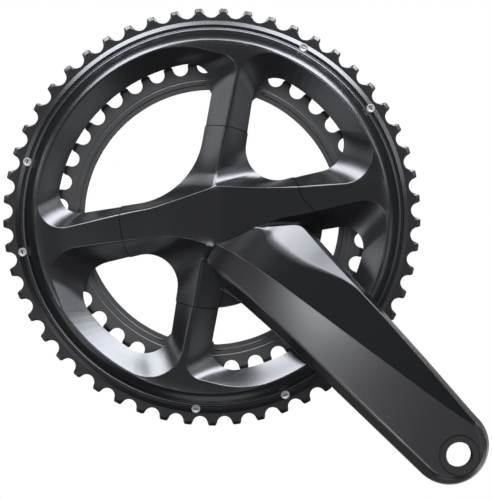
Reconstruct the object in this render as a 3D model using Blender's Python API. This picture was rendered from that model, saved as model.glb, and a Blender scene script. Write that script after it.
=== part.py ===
"""Drive side of a bicycle crankset with its threaded bottom bracket.

The crank axis is the Y axis, +X points forward and +Z up.  The drive side faces -Y, so a distance
"out" is measured from the middle of the bicycle towards -Y.  The origin is the middle of the bottom
bracket shell.  Everything on the spindle turns about Y; the cups, sleeve and outer races stand still.
"""

import math
from dataclasses import dataclass

import bmesh
import bpy
from mathutils import Matrix, Vector

MM = 0.001

# Chainrings
CHAIN_PITCH = 12.7 * MM
OUTER_TEETH = 53
INNER_TEETH = 39
ROLLER_SEAT_RADIUS = 3.95 * MM
TOOTH_RISE = 1.0 * MM
TOOTH_THICKNESS = 2.0 * MM
TOOTH_TIP_SHARE = 0.3
SEAT_ANGLES = tuple(math.radians(a) for a in (-76.0, -28.0, 28.0, 76.0))
OUTER_TOOTH_TURN = math.radians(171.65)
INNER_TOOTH_TURN = math.radians(148.2)
CHAINLINE = 43.5 * MM
RING_SPACING = 5.5 * MM
BOLT_CIRCLE_RADIUS = 55.0 * MM
FLAT_ARM_ANGLE = math.radians(10.0)
RIDGE_ARM_ANGLE = math.radians(80.4)

# Sculpted front of the outer ring and spider, from the teeth inwards
TOOTH_BASE_WIDTH = 1.04 * MM
BAND_WIDTH = 2.7 * MM
BAND_RISE = 1.1 * MM
BAND_FOOT = 0.54 * MM
BAND_FOOT_DROP = 0.22 * MM
GROOVE_WIDTH = 1.5 * MM
GROOVE_DEPTH = 0.9 * MM
GROOVE_EDGE_WIDTH = 0.6 * MM
COVE_WIDTH = 6.6 * MM
COVE_ARC = math.radians(78.5)
COVE_STEPS = (0.35, 0.65, 0.85, 1.0)
CREST_RISE = 6.8 * MM
WINDOW_WALL_WIDTH = 10.6 * MM
SEAM_RADIUS = 47.3 * MM
WINDOW_LIP = 0.6 * MM
CREST_LIP = 0.1 * MM
BAR_RISE = 4.2 * MM
BAR_END_INSET = 3.8 * MM
BAR_HALF_WIDTH = 15.4 * MM
BAR_TAPER = 0.5
BAR_SKIRT = 2.0 * MM
RIM_WALL = 2.2 * MM
RIM_FRONT_WALL = 3.3 * MM
PLATE_OVERLAP = 1.7 * MM

# Windows: angles of the corners and their fillets, ring side first and hub side last
LARGE_OPENING_ANGLES = tuple(math.radians(a) for a in (180.0, 88.0, 131.0))
LARGE_OPENING_FILLETS = (10.4 * MM, 11.7 * MM, 39.6 * MM)
LARGE_OPENING_HUB = 14.7 * MM
LARGE_CREST_ANGLES = tuple(math.radians(a) for a in (185.8, 79.8, 88.0))
LARGE_CREST_FILLETS = (14.0 * MM, 9.0 * MM, 6.0 * MM)
LARGE_CREST_INSET = 7.6 * MM
LARGE_BEND_ANGLE = math.radians(99.5)
LARGE_ARC_POINTS = 4
SMALL_OPENING_ANGLES = tuple(math.radians(a) for a in (73.0, 20.4, 44.8))
SMALL_OPENING_FILLETS = (11.5 * MM, 14.5 * MM, 16.3 * MM)
SMALL_OPENING_HUB = 19.4 * MM
SMALL_CREST_ANGLES = tuple(math.radians(a) for a in (78.0, 12.0, 77.6))
SMALL_CREST_FILLETS = (15.0 * MM, 16.0 * MM, 5.0 * MM)
SMALL_CREST_HUB_OFFSET = 0.4 * MM
SMALL_ARC_POINTS = 2

# Inner ring
INNER_BAND_WIDTH = 8.7 * MM
TAB_HALF_WIDTH = 8.0 * MM
TAB_REACH = 6.8 * MM
TAB_TIP_TURNS = tuple(math.radians(a) for a in (-90.0, -60.0, -30.0, 0.0, 30.0, 60.0, 90.0))

# Crank arm
CRANK_LENGTH = 175.0 * MM
CRANK_ANGLE = math.radians(-43.9)
Q_FACTOR = 146.0 * MM
ARM_END_RADIUS = 20.2 * MM
ARM_END_OFFSET = 6.4 * MM
ARM_END_THICKNESS = 13.0 * MM
ARM_WALL = 3.0 * MM
ARM_BACK_CHAMFER = 1.0 * MM
ARM_SIDE_CHAMFER = 2.0 * MM
ARM_EDGE_WIDTH = 4.0 * MM
ARM_EDGE_DROP = 3.2 * MM
ARM_ROOT = 12.0 * MM
ARM_ROOT_RISE = 1.2 * MM
ARM_SHOULDER_INSET = 10.0 * MM
ARM_WAIST_OFFSET = 5.0 * MM
ARM_RIM_INSET = 6.0 * MM
ARM_RIM_GAP = 1.2 * MM
ARM_FACE_LENGTH = 20.0 * MM
ARM_HUB_STEP = 1.0 * MM
ARM_WAIST_STEP = 2.0 * MM
ARM_RIM_SIDE = 7.0 * MM
ARM_SIDE_DROP = 5.0 * MM
ARM_END_SIDE_DROP = 4.0 * MM
ARM_WIDTHS = (
    (-17.0, 15.0, -9.0, 13.0, 2.0, 0.5),
    (-20.5, 28.5, -2.0, 15.8, 3.0, 1.0),
    (-20.9, 29.5, 0.5, 18.5, 3.0, 1.0),
    (-20.3, 27.8, 2.2, 24.6, 2.6, 1.2),
    (-20.2, 24.6, 8.0, 22.2, 1.2, 1.5),
    (-20.2, 22.4, 13.0, 19.6, 0.3, 1.8),
    (-20.2, 20.2, 15.6, 17.2, 0.2, 1.0),
)
ARM_END_TURNS = tuple(math.radians(a) for a in (25.0, 48.0, 66.0, 80.0))
CAVITY_LOW_WALL = 6.0 * MM
CAVITY_HIGH_WALL = 4.5 * MM
CUP_ROOM = 2.5 * MM
PEDAL_THREAD_RADIUS = 6.65 * MM
PEDAL_SEAT_RADIUS = 10.5 * MM
PEDAL_SEAT_DEPTH = 0.6 * MM

# Spindle
SPINDLE_RADIUS = 12.0 * MM
SPINDLE_WALL = 2.0 * MM
SPINDLE_LEFT_REACH = 60.0 * MM
SPLINE_LENGTH = 14.0 * MM
SPLINE_DEPTH = 0.6 * MM
SPLINE_COUNT = 18
SPLINE_POINTS = 4
SPINDLE_SOCKET_DEPTH = 9.5 * MM

# Bottom bracket
SHELL_WIDTH = 68.0 * MM
CUP_RADIUS = 20.5 * MM
CUP_FLANGE_LENGTH = 10.5 * MM
CUP_THREAD_RADIUS = 17.4 * MM
CUP_THREAD_LENGTH = 12.0 * MM
CUP_THREAD_WALL = 1.9 * MM
CUP_NOTCHES = 16
CUP_NOTCH_RADIUS = 1.3 * MM
CUP_NOTCH_OFFSET = 0.43 * MM
CUP_NOTCH_START = 2.6 * MM
BEARING_RADIUS = 18.5 * MM
BEARING_BORE_RADIUS = 12.75 * MM
BEARING_WIDTH = 7.0 * MM
BEARING_RECESS = 0.5 * MM
BALL_RADIUS = 1.75 * MM
BALL_COUNT = 14
CAGE_HALF_WIDTH = 1.05 * MM
CAGE_HALF_WALL = 0.44 * MM
RACE_WALL = 1.5 * MM
GROOVE_TURNS = (1.0, 0.4, -0.4, -1.0)
SEAL_THICKNESS = 0.5 * MM
COVER_RADIUS = 19.6 * MM
COVER_THICKNESS = 1.0 * MM
SLEEVE_RADIUS = 14.4 * MM
SLEEVE_WALL = 1.0 * MM
SLEEVE_OVERLAP = 7.0 * MM

# Fasteners and pins
BOLT_SHANK_RADIUS = 4.0 * MM
BOLT_HEAD_RADIUS = 6.4 * MM
BOLT_HEAD_HEIGHT = 2.6 * MM
BOLT_SOCKET_RADIUS = 2.6 * MM
BOLT_SOCKET_DEPTH = 1.95 * MM
BOLT_THREAD_LENGTH = 5.0 * MM
SHIFT_PIN_RADIUS = 2.3 * MM
SHIFT_PIN_SHANK_RADIUS = 1.4 * MM
SHIFT_PIN_RISE = 1.5 * MM
SHIFT_PIN_TIP_RADIUS = 1.95 * MM
SHIFT_PIN_INSET = 2.6 * MM
SHIFT_PIN_RECESS = 0.55 * MM
SHIFT_PIN_PAIR_TEETH = 4
SHIFT_PIN_START_ANGLE = math.radians(163.4)
SHIFT_PIN_STEP_TEETH = (19, 19)
DROP_PIN_RADIUS = 2.0 * MM
DROP_PIN_LENGTH = 7.0 * MM
DROP_PIN_CHAMFER = 0.65 * MM

# Clearances and facets
GAP = 0.3 * MM
RUNNING_GAP = 0.15 * MM
CUT_MARGIN = 5.0 * MM
RING_SEGMENTS = 72
SEAM_SEGMENTS = 90
POCKET_SEGMENTS = 64
SHAFT_SEGMENTS = 28
BOLT_SEGMENTS = 16
PIN_SEGMENTS = 12
PEDAL_SEGMENTS = 32
NOTCH_SEGMENTS = 8
O_RING_SEGMENTS = 6
FILLET_STEPS = 5

# Radii that follow from the teeth
OUTER_ROOT_RADIUS = CHAIN_PITCH / 2 / math.sin(math.pi / OUTER_TEETH) - ROLLER_SEAT_RADIUS
INNER_ROOT_RADIUS = CHAIN_PITCH / 2 / math.sin(math.pi / INNER_TEETH) - ROLLER_SEAT_RADIUS
BAND_RADIUS = OUTER_ROOT_RADIUS - TOOTH_BASE_WIDTH
GROOVE_RADIUS = BAND_RADIUS - BAND_WIDTH
EDGE_RADIUS = GROOVE_RADIUS - GROOVE_WIDTH
COVE_RADIUS = EDGE_RADIUS - GROOVE_EDGE_WIDTH
CREST_RADIUS = COVE_RADIUS - COVE_WIDTH
WINDOW_RADIUS = CREST_RADIUS - WINDOW_WALL_WIDTH
BAR_HALF_LENGTH = CREST_RADIUS - BAR_END_INSET
SHIFT_PIN_CIRCLE_RADIUS = BAND_RADIUS - SHIFT_PIN_INSET

# Planes, measured outwards from the middle of the bicycle
OUTER_MID = CHAINLINE + RING_SPACING / 2
INNER_MID = CHAINLINE - RING_SPACING / 2
OUTER_FRONT = OUTER_MID + TOOTH_THICKNESS / 2
OUTER_BACK = OUTER_MID - TOOTH_THICKNESS / 2
INNER_FRONT = INNER_MID + TOOTH_THICKNESS / 2
INNER_BACK = INNER_MID - TOOTH_THICKNESS / 2
CREST = OUTER_FRONT + CREST_RISE
BAR_TOP = CREST + BAR_RISE
SPIDER_BACK = INNER_FRONT + GAP
TAB_FRONT = OUTER_MID - GAP
SHELL_FACE = SHELL_WIDTH / 2
CUP_FACE = SHELL_FACE + CUP_FLANGE_LENGTH
COVER_FACE = CUP_FACE + GAP + COVER_THICKNESS
HUB_BACK = COVER_FACE + GAP
PEDAL_FACE = Q_FACTOR / 2
SPINDLE_END = HUB_BACK + SPINDLE_SOCKET_DEPTH
BEARING_OUTER_FACE = CUP_FACE - BEARING_RECESS
BEARING_INNER_FACE = BEARING_OUTER_FACE - BEARING_WIDTH
OUTER_LAND_RADIUS = BEARING_RADIUS - RACE_WALL
INNER_LAND_RADIUS = BEARING_BORE_RADIUS + RACE_WALL
BALL_CIRCLE_RADIUS = (OUTER_LAND_RADIUS + INNER_LAND_RADIUS) / 2
SIDES = (("right", 1), ("left", -1))
ARM_ANGLES = (FLAT_ARM_ANGLE, RIDGE_ARM_ANGLE, FLAT_ARM_ANGLE + math.pi, RIDGE_ARM_ANGLE + math.pi)


# Points and outlines


def polar(radius, angle):
    """Point (x, z) at a radius and an angle turned from +X towards +Z."""
    return Vector((radius * math.cos(angle), radius * math.sin(angle)))


def at(point, out):
    """Place a flat (x, z) point at a distance out from the middle of the bicycle."""
    return Vector((point[0], -out, point[1]))


def circle(radius, count, turn=0.0):
    """Points round a circle about the crank axis."""
    return [polar(radius, turn + math.tau * i / count) for i in range(count)]


def rounded_outline(corners, steps=FILLET_STEPS):
    """Closed outline through corners (point, fillet radius), with each fillet as an arc.

    A corner with no fillet gives one point, and every other corner gives steps + 1 points.
    """
    points = []
    for i, (corner, radius) in enumerate(corners):
        if radius == 0:
            points.append(corner)
            continue
        before = (corners[i - 1][0] - corner).normalized()
        after = (corners[(i + 1) % len(corners)][0] - corner).normalized()
        half = before.angle(after) / 2
        centre = corner + (before + after).normalized() * radius / math.sin(half)
        first = corner + before * radius / math.tan(half) - centre
        last = corner + after * radius / math.tan(half) - centre
        start = math.atan2(first.y, first.x)
        sweep = (math.atan2(last.y, last.x) - start + math.pi) % math.tau - math.pi
        points += [centre + polar(radius, start + sweep * k / steps) for k in range(steps + 1)]
    return points


def arc_corners(radius, first, last, count):
    """Unfilleted corners along an arc, between its two ends."""
    step = (last - first) / (count + 1)
    return [(polar(radius, first + step * (i + 1)), 0) for i in range(count)]


def tooth_outline(teeth, turn):
    """Sprocket outline: a roller seat on the pitch circle at each pitch, and a flat tip between."""
    pitch_radius = CHAIN_PITCH / 2 / math.sin(math.pi / teeth)
    tip_radius = pitch_radius + TOOTH_RISE
    tip_half = CHAIN_PITCH * TOOTH_TIP_SHARE / 2 / tip_radius
    points = []
    for tooth in range(teeth):
        middle = turn + math.tau * tooth / teeth
        seat = polar(pitch_radius, middle)
        for angle in SEAT_ANGLES:
            points.append(seat + polar(-ROLLER_SEAT_RADIUS, middle - angle))
        tip = middle + math.pi / teeth
        points += [polar(tip_radius, tip - tip_half), polar(tip_radius, tip + tip_half)]
    return points


# Solids


def new_object(name, mesh):
    """Link a mesh to the scene as a named object."""
    obj = bpy.data.objects.new(name, mesh)
    bpy.context.scene.collection.objects.link(obj)
    return obj


def finish_mesh(name, bm):
    """Close a bmesh into an object with its faces pointing out."""
    bmesh.ops.recalc_face_normals(bm, faces=bm.faces)
    mesh = bpy.data.meshes.new(name)
    bm.to_mesh(mesh)
    bm.free()
    return new_object(name, mesh)


def bridge(bm, first, second):
    """Quads between two closed loops of as many vertices."""
    count = len(first)
    for i in range(count):
        j = (i + 1) % count
        bm.faces.new((first[i], first[j], second[j], second[i]))


def loft(name, loops):
    """Closed solid through loops of points, capped at both ends."""
    bm = bmesh.new()
    rows = [[bm.verts.new(point) for point in loop] for loop in loops]
    for first, second in zip(rows, rows[1:]):
        bridge(bm, first, second)
    bm.faces.new(rows[0])
    bm.faces.new(reversed(rows[-1]))
    return finish_mesh(name, bm)


def turned(name, profile, segments, axis_point=(0.0, 0.0)):
    """Ring turned about a line parallel to the crank axis from a closed (radius, out) profile."""
    bm = bmesh.new()
    centre = Vector(axis_point)
    rows = []
    for radius, out in profile:
        rows.append([bm.verts.new(at(centre + p, out)) for p in circle(radius, segments)])
    for first, second in zip(rows, rows[1:] + rows[:1]):
        bridge(bm, first, second)
    return finish_mesh(name, bm)


def disc(name, radius, back, front, segments, axis_point=(0.0, 0.0)):
    """Solid cylinder parallel to the crank axis."""
    centre = Vector(axis_point)
    points = [centre + p for p in circle(radius, segments)]
    return loft(name, [[at(p, back) for p in points], [at(p, front) for p in points]])


def stepped_pin(name, profile, segments, axis_point=(0.0, 0.0)):
    """Solid of revolution through (radius, out) stations, capped at both ends."""
    centre = Vector(axis_point)
    loops = [[at(centre + p, out) for p in circle(radius, segments)] for radius, out in profile]
    return loft(name, loops)


def combine(target, other, operation):
    """Boolean one object with another, keep the result as a plain mesh and drop the other."""
    modifier = target.modifiers.new(operation, "BOOLEAN")
    modifier.operation = operation
    modifier.solver = "MANIFOLD"
    modifier.object = other
    depsgraph = bpy.context.evaluated_depsgraph_get()
    mesh = bpy.data.meshes.new_from_object(target.evaluated_get(depsgraph))
    target.modifiers.remove(modifier)
    target.data = mesh
    bpy.data.objects.remove(other)
    return target


def cut(target, other):
    """Remove one solid from another."""
    return combine(target, other, "DIFFERENCE")


def join(target, other):
    """Fuse one solid to another."""
    return combine(target, other, "UNION")


# Materials


def make_material(name, colour, roughness, metallic):
    """Plain surface with one colour."""
    material = bpy.data.materials.new(name)
    material.use_nodes = True
    surface = material.node_tree.nodes["Principled BSDF"]
    surface.inputs["Base Color"].default_value = (*colour, 1.0)
    surface.inputs["Roughness"].default_value = roughness
    surface.inputs["Metallic"].default_value = metallic
    return material


def dress(obj, material, parent=None, smooth_angle=30.0):
    """Give an object its material, shading and parent."""
    obj.data.materials.clear()
    obj.data.materials.append(material)
    obj.data.shade_smooth()
    obj.data.set_sharp_from_angle(angle=math.radians(smooth_angle))
    obj.parent = parent
    return obj


# Sculpted front shared by the outer ring and the spider


def large_window():
    """Opening and crest outlines of the window over the wide gap between two arms."""
    left, top, hub = LARGE_OPENING_ANGLES
    fillets = LARGE_OPENING_FILLETS
    opening = [(polar(WINDOW_RADIUS, left), fillets[0])]
    opening += arc_corners(WINDOW_RADIUS, left, LARGE_BEND_ANGLE, LARGE_ARC_POINTS)
    opening += [(polar(WINDOW_RADIUS, LARGE_BEND_ANGLE), 0), (polar(WINDOW_RADIUS, top), fillets[1])]
    opening += [(polar(LARGE_OPENING_HUB, hub), fillets[2])]
    left, top, hub = LARGE_CREST_ANGLES
    fillets = LARGE_CREST_FILLETS
    crest = [(polar(CREST_RADIUS, left), fillets[0])]
    crest += arc_corners(CREST_RADIUS, left, LARGE_BEND_ANGLE, LARGE_ARC_POINTS)
    crest += [(polar(CREST_RADIUS, LARGE_BEND_ANGLE), 0)]
    crest += [(polar(CREST_RADIUS - LARGE_CREST_INSET, top), fillets[1])]
    crest += [(polar(BAR_HALF_WIDTH, hub), fillets[2])]
    return opening, crest


def small_window():
    """Opening and crest outlines of the window over the narrow gap between two arms."""
    top, right, hub = SMALL_OPENING_ANGLES
    fillets = SMALL_OPENING_FILLETS
    opening = [(polar(WINDOW_RADIUS, top), fillets[0])]
    opening += arc_corners(WINDOW_RADIUS, top, right, SMALL_ARC_POINTS)
    opening += [(polar(WINDOW_RADIUS, right), fillets[1]), (polar(SMALL_OPENING_HUB, hub), fillets[2])]
    top, right, hub = SMALL_CREST_ANGLES
    fillets = SMALL_CREST_FILLETS
    crest = [(polar(CREST_RADIUS, top), fillets[0])]
    crest += arc_corners(CREST_RADIUS, top, right, SMALL_ARC_POINTS)
    crest += [(polar(CREST_RADIUS, right), fillets[1])]
    crest += [(polar(BAR_HALF_WIDTH + SMALL_CREST_HUB_OFFSET, hub), fillets[2])]
    return opening, crest


def bar_section(x):
    """Middle, half width and top of the raised bar at a distance along it."""
    share = min(abs(x) / BAR_HALF_LENGTH, 1.0)
    middle = x * math.tan(FLAT_ARM_ANGLE)
    half = BAR_HALF_WIDTH * (1 - BAR_TAPER * share)
    return middle, half, CREST + BAR_RISE * (1 - share) - CREST_LIP * 2 * share


def crest_height(point):
    """Height of the front where a window's wall meets it: the bar's top along the bar."""
    middle, half, top = bar_section(point[0])
    on_bar = abs(point[1] - middle) < half + BAR_SKIRT
    return (top if on_bar else CREST) + CREST_LIP


def window_cutter(name, corners, turn):
    """Tapered plug that opens a window: narrow at the back and as wide as the crest in front."""
    opening, crest = (rounded_outline(outline) for outline in corners)
    spin = Matrix.Rotation(turn, 2)
    opening = [spin @ p for p in opening]
    crest = [spin @ p for p in crest]
    loops = [
        [at(p, SPIDER_BACK - CUT_MARGIN) for p in opening],
        [at(p, OUTER_MID + WINDOW_LIP) for p in opening],
        [at(p, crest_height(p)) for p in crest],
        [at(p, BAR_TOP + CUT_MARGIN) for p in crest],
    ]
    return loft(name, loops)


def front_profile(back):
    """Half section of the ring's front: band, groove, cove and the plateau of the arms."""
    band_top = OUTER_FRONT + BAND_RISE
    foot = BAND_RADIUS + BAND_FOOT
    points = [
        (foot, back),
        (foot, OUTER_FRONT - BAND_FOOT_DROP),
        (GROOVE_RADIUS, band_top),
        (GROOVE_RADIUS, band_top - GROOVE_DEPTH),
        (EDGE_RADIUS, band_top - GROOVE_DEPTH),
        (EDGE_RADIUS, band_top),
        (COVE_RADIUS - GAP, band_top),
    ]
    full = 1 - math.cos(COVE_ARC)
    for share in COVE_STEPS:
        rise = 1 - math.sqrt(1 - (share * math.sin(COVE_ARC)) ** 2)
        points.append((COVE_RADIUS - COVE_WIDTH * share, band_top + (CREST - band_top) * rise / full))
    points.append((CREST_RADIUS - CUT_MARGIN, CREST))
    return points


def hub_bar():
    """Raised bar from arm to arm through the hub, highest over the crank axis."""
    loops = []
    for share in (-1.0, 0.0, 1.0):
        x = BAR_HALF_LENGTH * share
        middle, half, top = bar_section(x)
        low, high = middle - half, middle + half
        loops.append([
            Vector((x, -OUTER_FRONT, low - BAR_SKIRT)),
            Vector((x, -top, low)),
            Vector((x, -top, high)),
            Vector((x, -OUTER_FRONT, high + BAR_SKIRT)),
        ])
    return loft("hub_bar", loops)


def front_body(name, back, radius_in):
    """Turned front with its raised bar and its four windows, from a back plane forwards."""
    profile = front_profile(back)
    profile += [(radius_in, CREST), (radius_in, back)]
    body = turned(name, profile, RING_SEGMENTS)
    join(body, hub_bar())
    for turn in (0.0, math.pi):
        cut(body, window_cutter("large_window", large_window(), turn))
        cut(body, window_cutter("small_window", small_window(), turn))
    return body


# Chainrings


def toothed_plate(name, teeth, turn, inner_radius, back, front):
    """Flat toothed ring."""
    outline = tooth_outline(teeth, turn)
    plate = loft(name, [[at(p, back) for p in outline], [at(p, front) for p in outline]])
    hole = disc("hole", inner_radius, back - CUT_MARGIN, front + CUT_MARGIN, RING_SEGMENTS)
    return cut(plate, hole)


def shift_pin_angles():
    """Angles of the three pairs of shift pins, stepped by whole teeth."""
    tooth = math.tau / OUTER_TEETH
    starts = [SHIFT_PIN_START_ANGLE]
    for step in SHIFT_PIN_STEP_TEETH:
        starts.append(starts[-1] - step * tooth)
    return [angle for start in starts for angle in (start, start + SHIFT_PIN_PAIR_TEETH * tooth)]


def build_outer_chainring():
    """Outer ring: teeth, sculpted front and four struts that meet the spider."""
    ring = front_body("outer_chainring", OUTER_MID, SEAM_RADIUS - CUT_MARGIN)
    plate_inner = EDGE_RADIUS - PLATE_OVERLAP
    join(ring, toothed_plate("plate", OUTER_TEETH, OUTER_TOOTH_TURN, plate_inner, OUTER_BACK, OUTER_FRONT))
    spider_room = disc("spider_room", SEAM_RADIUS + GAP / 2, OUTER_BACK, BAR_TOP + CUT_MARGIN, SEAM_SEGMENTS)
    cut(ring, spider_room)
    pocket = [
        (CREST_RADIUS + COVE_WIDTH / 2, OUTER_BACK),
        (CREST_RADIUS, CREST - RIM_FRONT_WALL),
        (WINDOW_RADIUS + RIM_WALL, OUTER_BACK),
    ]
    cut(ring, turned("back_pocket", pocket, POCKET_SEGMENTS))
    for angle in ARM_ANGLES:
        place = polar(BOLT_CIRCLE_RADIUS, angle)
        depth = OUTER_MID + BOLT_THREAD_LENGTH + GAP
        cut(ring, disc("thread", BOLT_SHANK_RADIUS + GAP, OUTER_BACK, depth, BOLT_SEGMENTS, place))
    for angle in shift_pin_angles():
        place = polar(SHIFT_PIN_CIRCLE_RADIUS, angle)
        bore = [
            (SHIFT_PIN_SHANK_RADIUS + GAP, OUTER_BACK - CUT_MARGIN),
            (SHIFT_PIN_SHANK_RADIUS + GAP, OUTER_FRONT - GAP),
            (SHIFT_PIN_RADIUS + GAP, OUTER_FRONT - GAP),
            (SHIFT_PIN_RADIUS + GAP, OUTER_FRONT + CUT_MARGIN),
        ]
        cut(ring, stepped_pin("pin_bore", bore, PIN_SEGMENTS, place))
    place = polar(SHIFT_PIN_CIRCLE_RADIUS, CRANK_ANGLE)
    bore_front = OUTER_FRONT + CUT_MARGIN
    cut(ring, disc("drop_bore", DROP_PIN_RADIUS + GAP, OUTER_MID, bore_front, PIN_SEGMENTS, place))
    return ring


def tab_outline(root, tip, half_width):
    """Outline of a tab along +X from a straight root to a round tip, further out or further in."""
    side = math.copysign(1.0, tip - root)
    centre = tip - side * half_width
    points = [Vector((root, -half_width))]
    for turn in TAB_TIP_TURNS:
        points.append(Vector((centre + side * half_width * math.cos(turn), half_width * math.sin(turn))))
    points.append(Vector((root, half_width)))
    return points


def tab(name, outline, angle, back, front):
    """Flat tab turned to an arm's angle."""
    spin = Matrix.Rotation(angle, 2)
    points = [spin @ p for p in outline]
    return loft(name, [[at(p, back) for p in points], [at(p, front) for p in points]])


def cut_bolt_holes(target, back, front):
    """Cut the four clearance holes of the chainring bolts."""
    for angle in ARM_ANGLES:
        place = polar(BOLT_CIRCLE_RADIUS, angle)
        cut(target, disc("bolt_hole", BOLT_SHANK_RADIUS + GAP, back, front, BOLT_SEGMENTS, place))


def build_inner_chainring():
    """Inner ring: teeth, a plain band and four tabs that reach in to the bolts."""
    band_inner = INNER_ROOT_RADIUS - INNER_BAND_WIDTH
    ring = toothed_plate(
        "inner_chainring", INNER_TEETH, INNER_TOOTH_TURN, band_inner, INNER_BACK, INNER_FRONT)
    outline = tab_outline(band_inner + INNER_BAND_WIDTH / 2, BOLT_CIRCLE_RADIUS - TAB_REACH, TAB_HALF_WIDTH)
    for angle in ARM_ANGLES:
        join(ring, tab("tab", outline, angle, INNER_BACK, INNER_FRONT))
    cut_bolt_holes(ring, INNER_BACK - CUT_MARGIN, INNER_FRONT + CUT_MARGIN)
    return ring


# Crank arm and spider


@dataclass
class ArmStation:
    """One cross-section of the crank arm, square to its length."""

    along: float
    low: float
    high: float
    crease: float
    edge: float
    front: float
    low_drop: float
    edge_drop: float
    high_side: float
    back: float

    def outline(self, narrow=1.0):
        """Corners (across, out) round the section, drawn in by a share at the round end."""
        corners = [
            (self.low + ARM_BACK_CHAMFER, self.back),
            (self.low, self.back + ARM_SIDE_CHAMFER),
            (self.low, self.front - self.low_drop - ARM_EDGE_DROP),
            (self.low + ARM_EDGE_WIDTH, self.front - self.low_drop),
            (self.crease, self.front),
            (self.edge, self.front - self.edge_drop),
            (self.high, self.high_side),
            (self.high - ARM_BACK_CHAMFER, self.back),
        ]
        return [(across * narrow, out) for across, out in corners]


def arm_stations():
    """Sections of the arm from inside the hub to the middle of its round end."""
    end = CRANK_LENGTH - ARM_END_OFFSET
    face_start = end - ARM_FACE_LENGTH
    shoulder = SEAM_RADIUS - ARM_SHOULDER_INSET
    waist = SEAM_RADIUS + ARM_WAIST_OFFSET
    rim = WINDOW_RADIUS - ARM_RIM_INSET
    middle = (rim + face_start) / 2
    root_front = BAR_TOP + ARM_ROOT_RISE
    rim_back = CREST + ARM_RIM_GAP
    end_back = PEDAL_FACE - ARM_END_THICKNESS
    slope = (PEDAL_FACE - root_front) / (face_start - ARM_ROOT)
    back_slope = (end_back - rim_back) / (end - rim)
    places = (ARM_ROOT, shoulder, waist, rim, middle, face_start, end)
    fronts = [min(root_front + slope * (along - ARM_ROOT), PEDAL_FACE) for along in places]
    sides = (
        CREST,
        CREST,
        CREST + ARM_HUB_STEP,
        CREST + ARM_RIM_SIDE,
        fronts[4] - ARM_SIDE_DROP,
        PEDAL_FACE - ARM_SIDE_DROP,
        PEDAL_FACE - ARM_END_SIDE_DROP,
    )
    backs = (
        HUB_BACK + ARM_HUB_STEP,
        HUB_BACK + ARM_HUB_STEP,
        OUTER_FRONT + ARM_WAIST_STEP,
        rim_back,
        rim_back + back_slope * (middle - rim),
        end_back,
        end_back,
    )
    stations = []
    for along, front, side, back, widths in zip(places, fronts, sides, backs, ARM_WIDTHS):
        low, high, crease, edge, low_drop, edge_drop = (width * MM for width in widths)
        stations.append(ArmStation(along, low, high, crease, edge, front, low_drop, edge_drop, side, back))
    return stations


def arm_point(along, across, out):
    """Point in the arm's own directions, placed at the arm's angle."""
    flat = Matrix.Rotation(CRANK_ANGLE, 2) @ Vector((along, across))
    return at(flat, out)


def arm_solid():
    """Arm lofted through its sections and round its end."""
    stations = arm_stations()
    loops = [[arm_point(s.along, v, w) for v, w in s.outline()] for s in stations]
    last = stations[-1]
    for turn in ARM_END_TURNS:
        along = last.along + ARM_END_RADIUS * math.sin(turn)
        loops.append([arm_point(along, v, w) for v, w in last.outline(math.cos(turn))])
    return loft("arm", loops)


def arm_cavity():
    """Hollow inside the arm, open to the spindle's socket."""
    loops = []
    for station in arm_stations()[:-1]:
        low = station.low + CAVITY_LOW_WALL
        high = station.edge - CAVITY_HIGH_WALL
        back = station.back + ARM_WALL
        front = station.front - station.low_drop - ARM_WALL
        corners = [(low, back), (low, front), (high, front), (high, back)]
        loops.append([arm_point(station.along, v, w) for v, w in corners])
    return loft("cavity", loops)


def build_crank_arm():
    """Spider, arm and hub in one forging, with the spindle's socket and the pedal's thread."""
    seam = SEAM_RADIUS - GAP / 2
    spider = disc("crank_arm", SEAM_RADIUS + CUT_MARGIN, SPIDER_BACK, CREST, RING_SEGMENTS)
    join(spider, hub_bar())
    cut(spider, window_cutter("large_window", large_window(), 0.0))
    for turn in (0.0, math.pi):
        cut(spider, window_cutter("small_window", small_window(), turn))
    trim = disc("trim", seam, SPIDER_BACK - CUT_MARGIN, BAR_TOP + CUT_MARGIN, SEAM_SEGMENTS)
    combine(spider, trim, "INTERSECT")
    join(spider, arm_solid())
    outline = tab_outline(SEAM_RADIUS - TAB_HALF_WIDTH, BOLT_CIRCLE_RADIUS + TAB_REACH, TAB_HALF_WIDTH)
    for angle in ARM_ANGLES:
        join(spider, tab("tab", outline, angle, SPIDER_BACK, TAB_FRONT))
    cut_bolt_holes(spider, SPIDER_BACK - CUT_MARGIN, OUTER_MID + BOLT_THREAD_LENGTH + GAP)
    cut(spider, disc("cup_room", CUP_RADIUS + CUP_ROOM, SPIDER_BACK - CUT_MARGIN, HUB_BACK, SHAFT_SEGMENTS))
    socket = SPINDLE_RADIUS + RUNNING_GAP
    cut(spider, disc("socket", socket, SPIDER_BACK, SPINDLE_END + GAP, SHAFT_SEGMENTS))
    cut(spider, arm_cavity())
    place = Matrix.Rotation(CRANK_ANGLE, 2) @ Vector((CRANK_LENGTH, 0))
    bore = [
        (PEDAL_THREAD_RADIUS, PEDAL_FACE - ARM_END_THICKNESS - CUT_MARGIN),
        (PEDAL_THREAD_RADIUS, PEDAL_FACE - PEDAL_SEAT_DEPTH),
        (PEDAL_SEAT_RADIUS, PEDAL_FACE - PEDAL_SEAT_DEPTH),
        (PEDAL_SEAT_RADIUS, PEDAL_FACE + CUT_MARGIN),
    ]
    return cut(spider, stepped_pin("pedal_bore", bore, PEDAL_SEGMENTS, place))


# Spindle and bottom bracket


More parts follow.
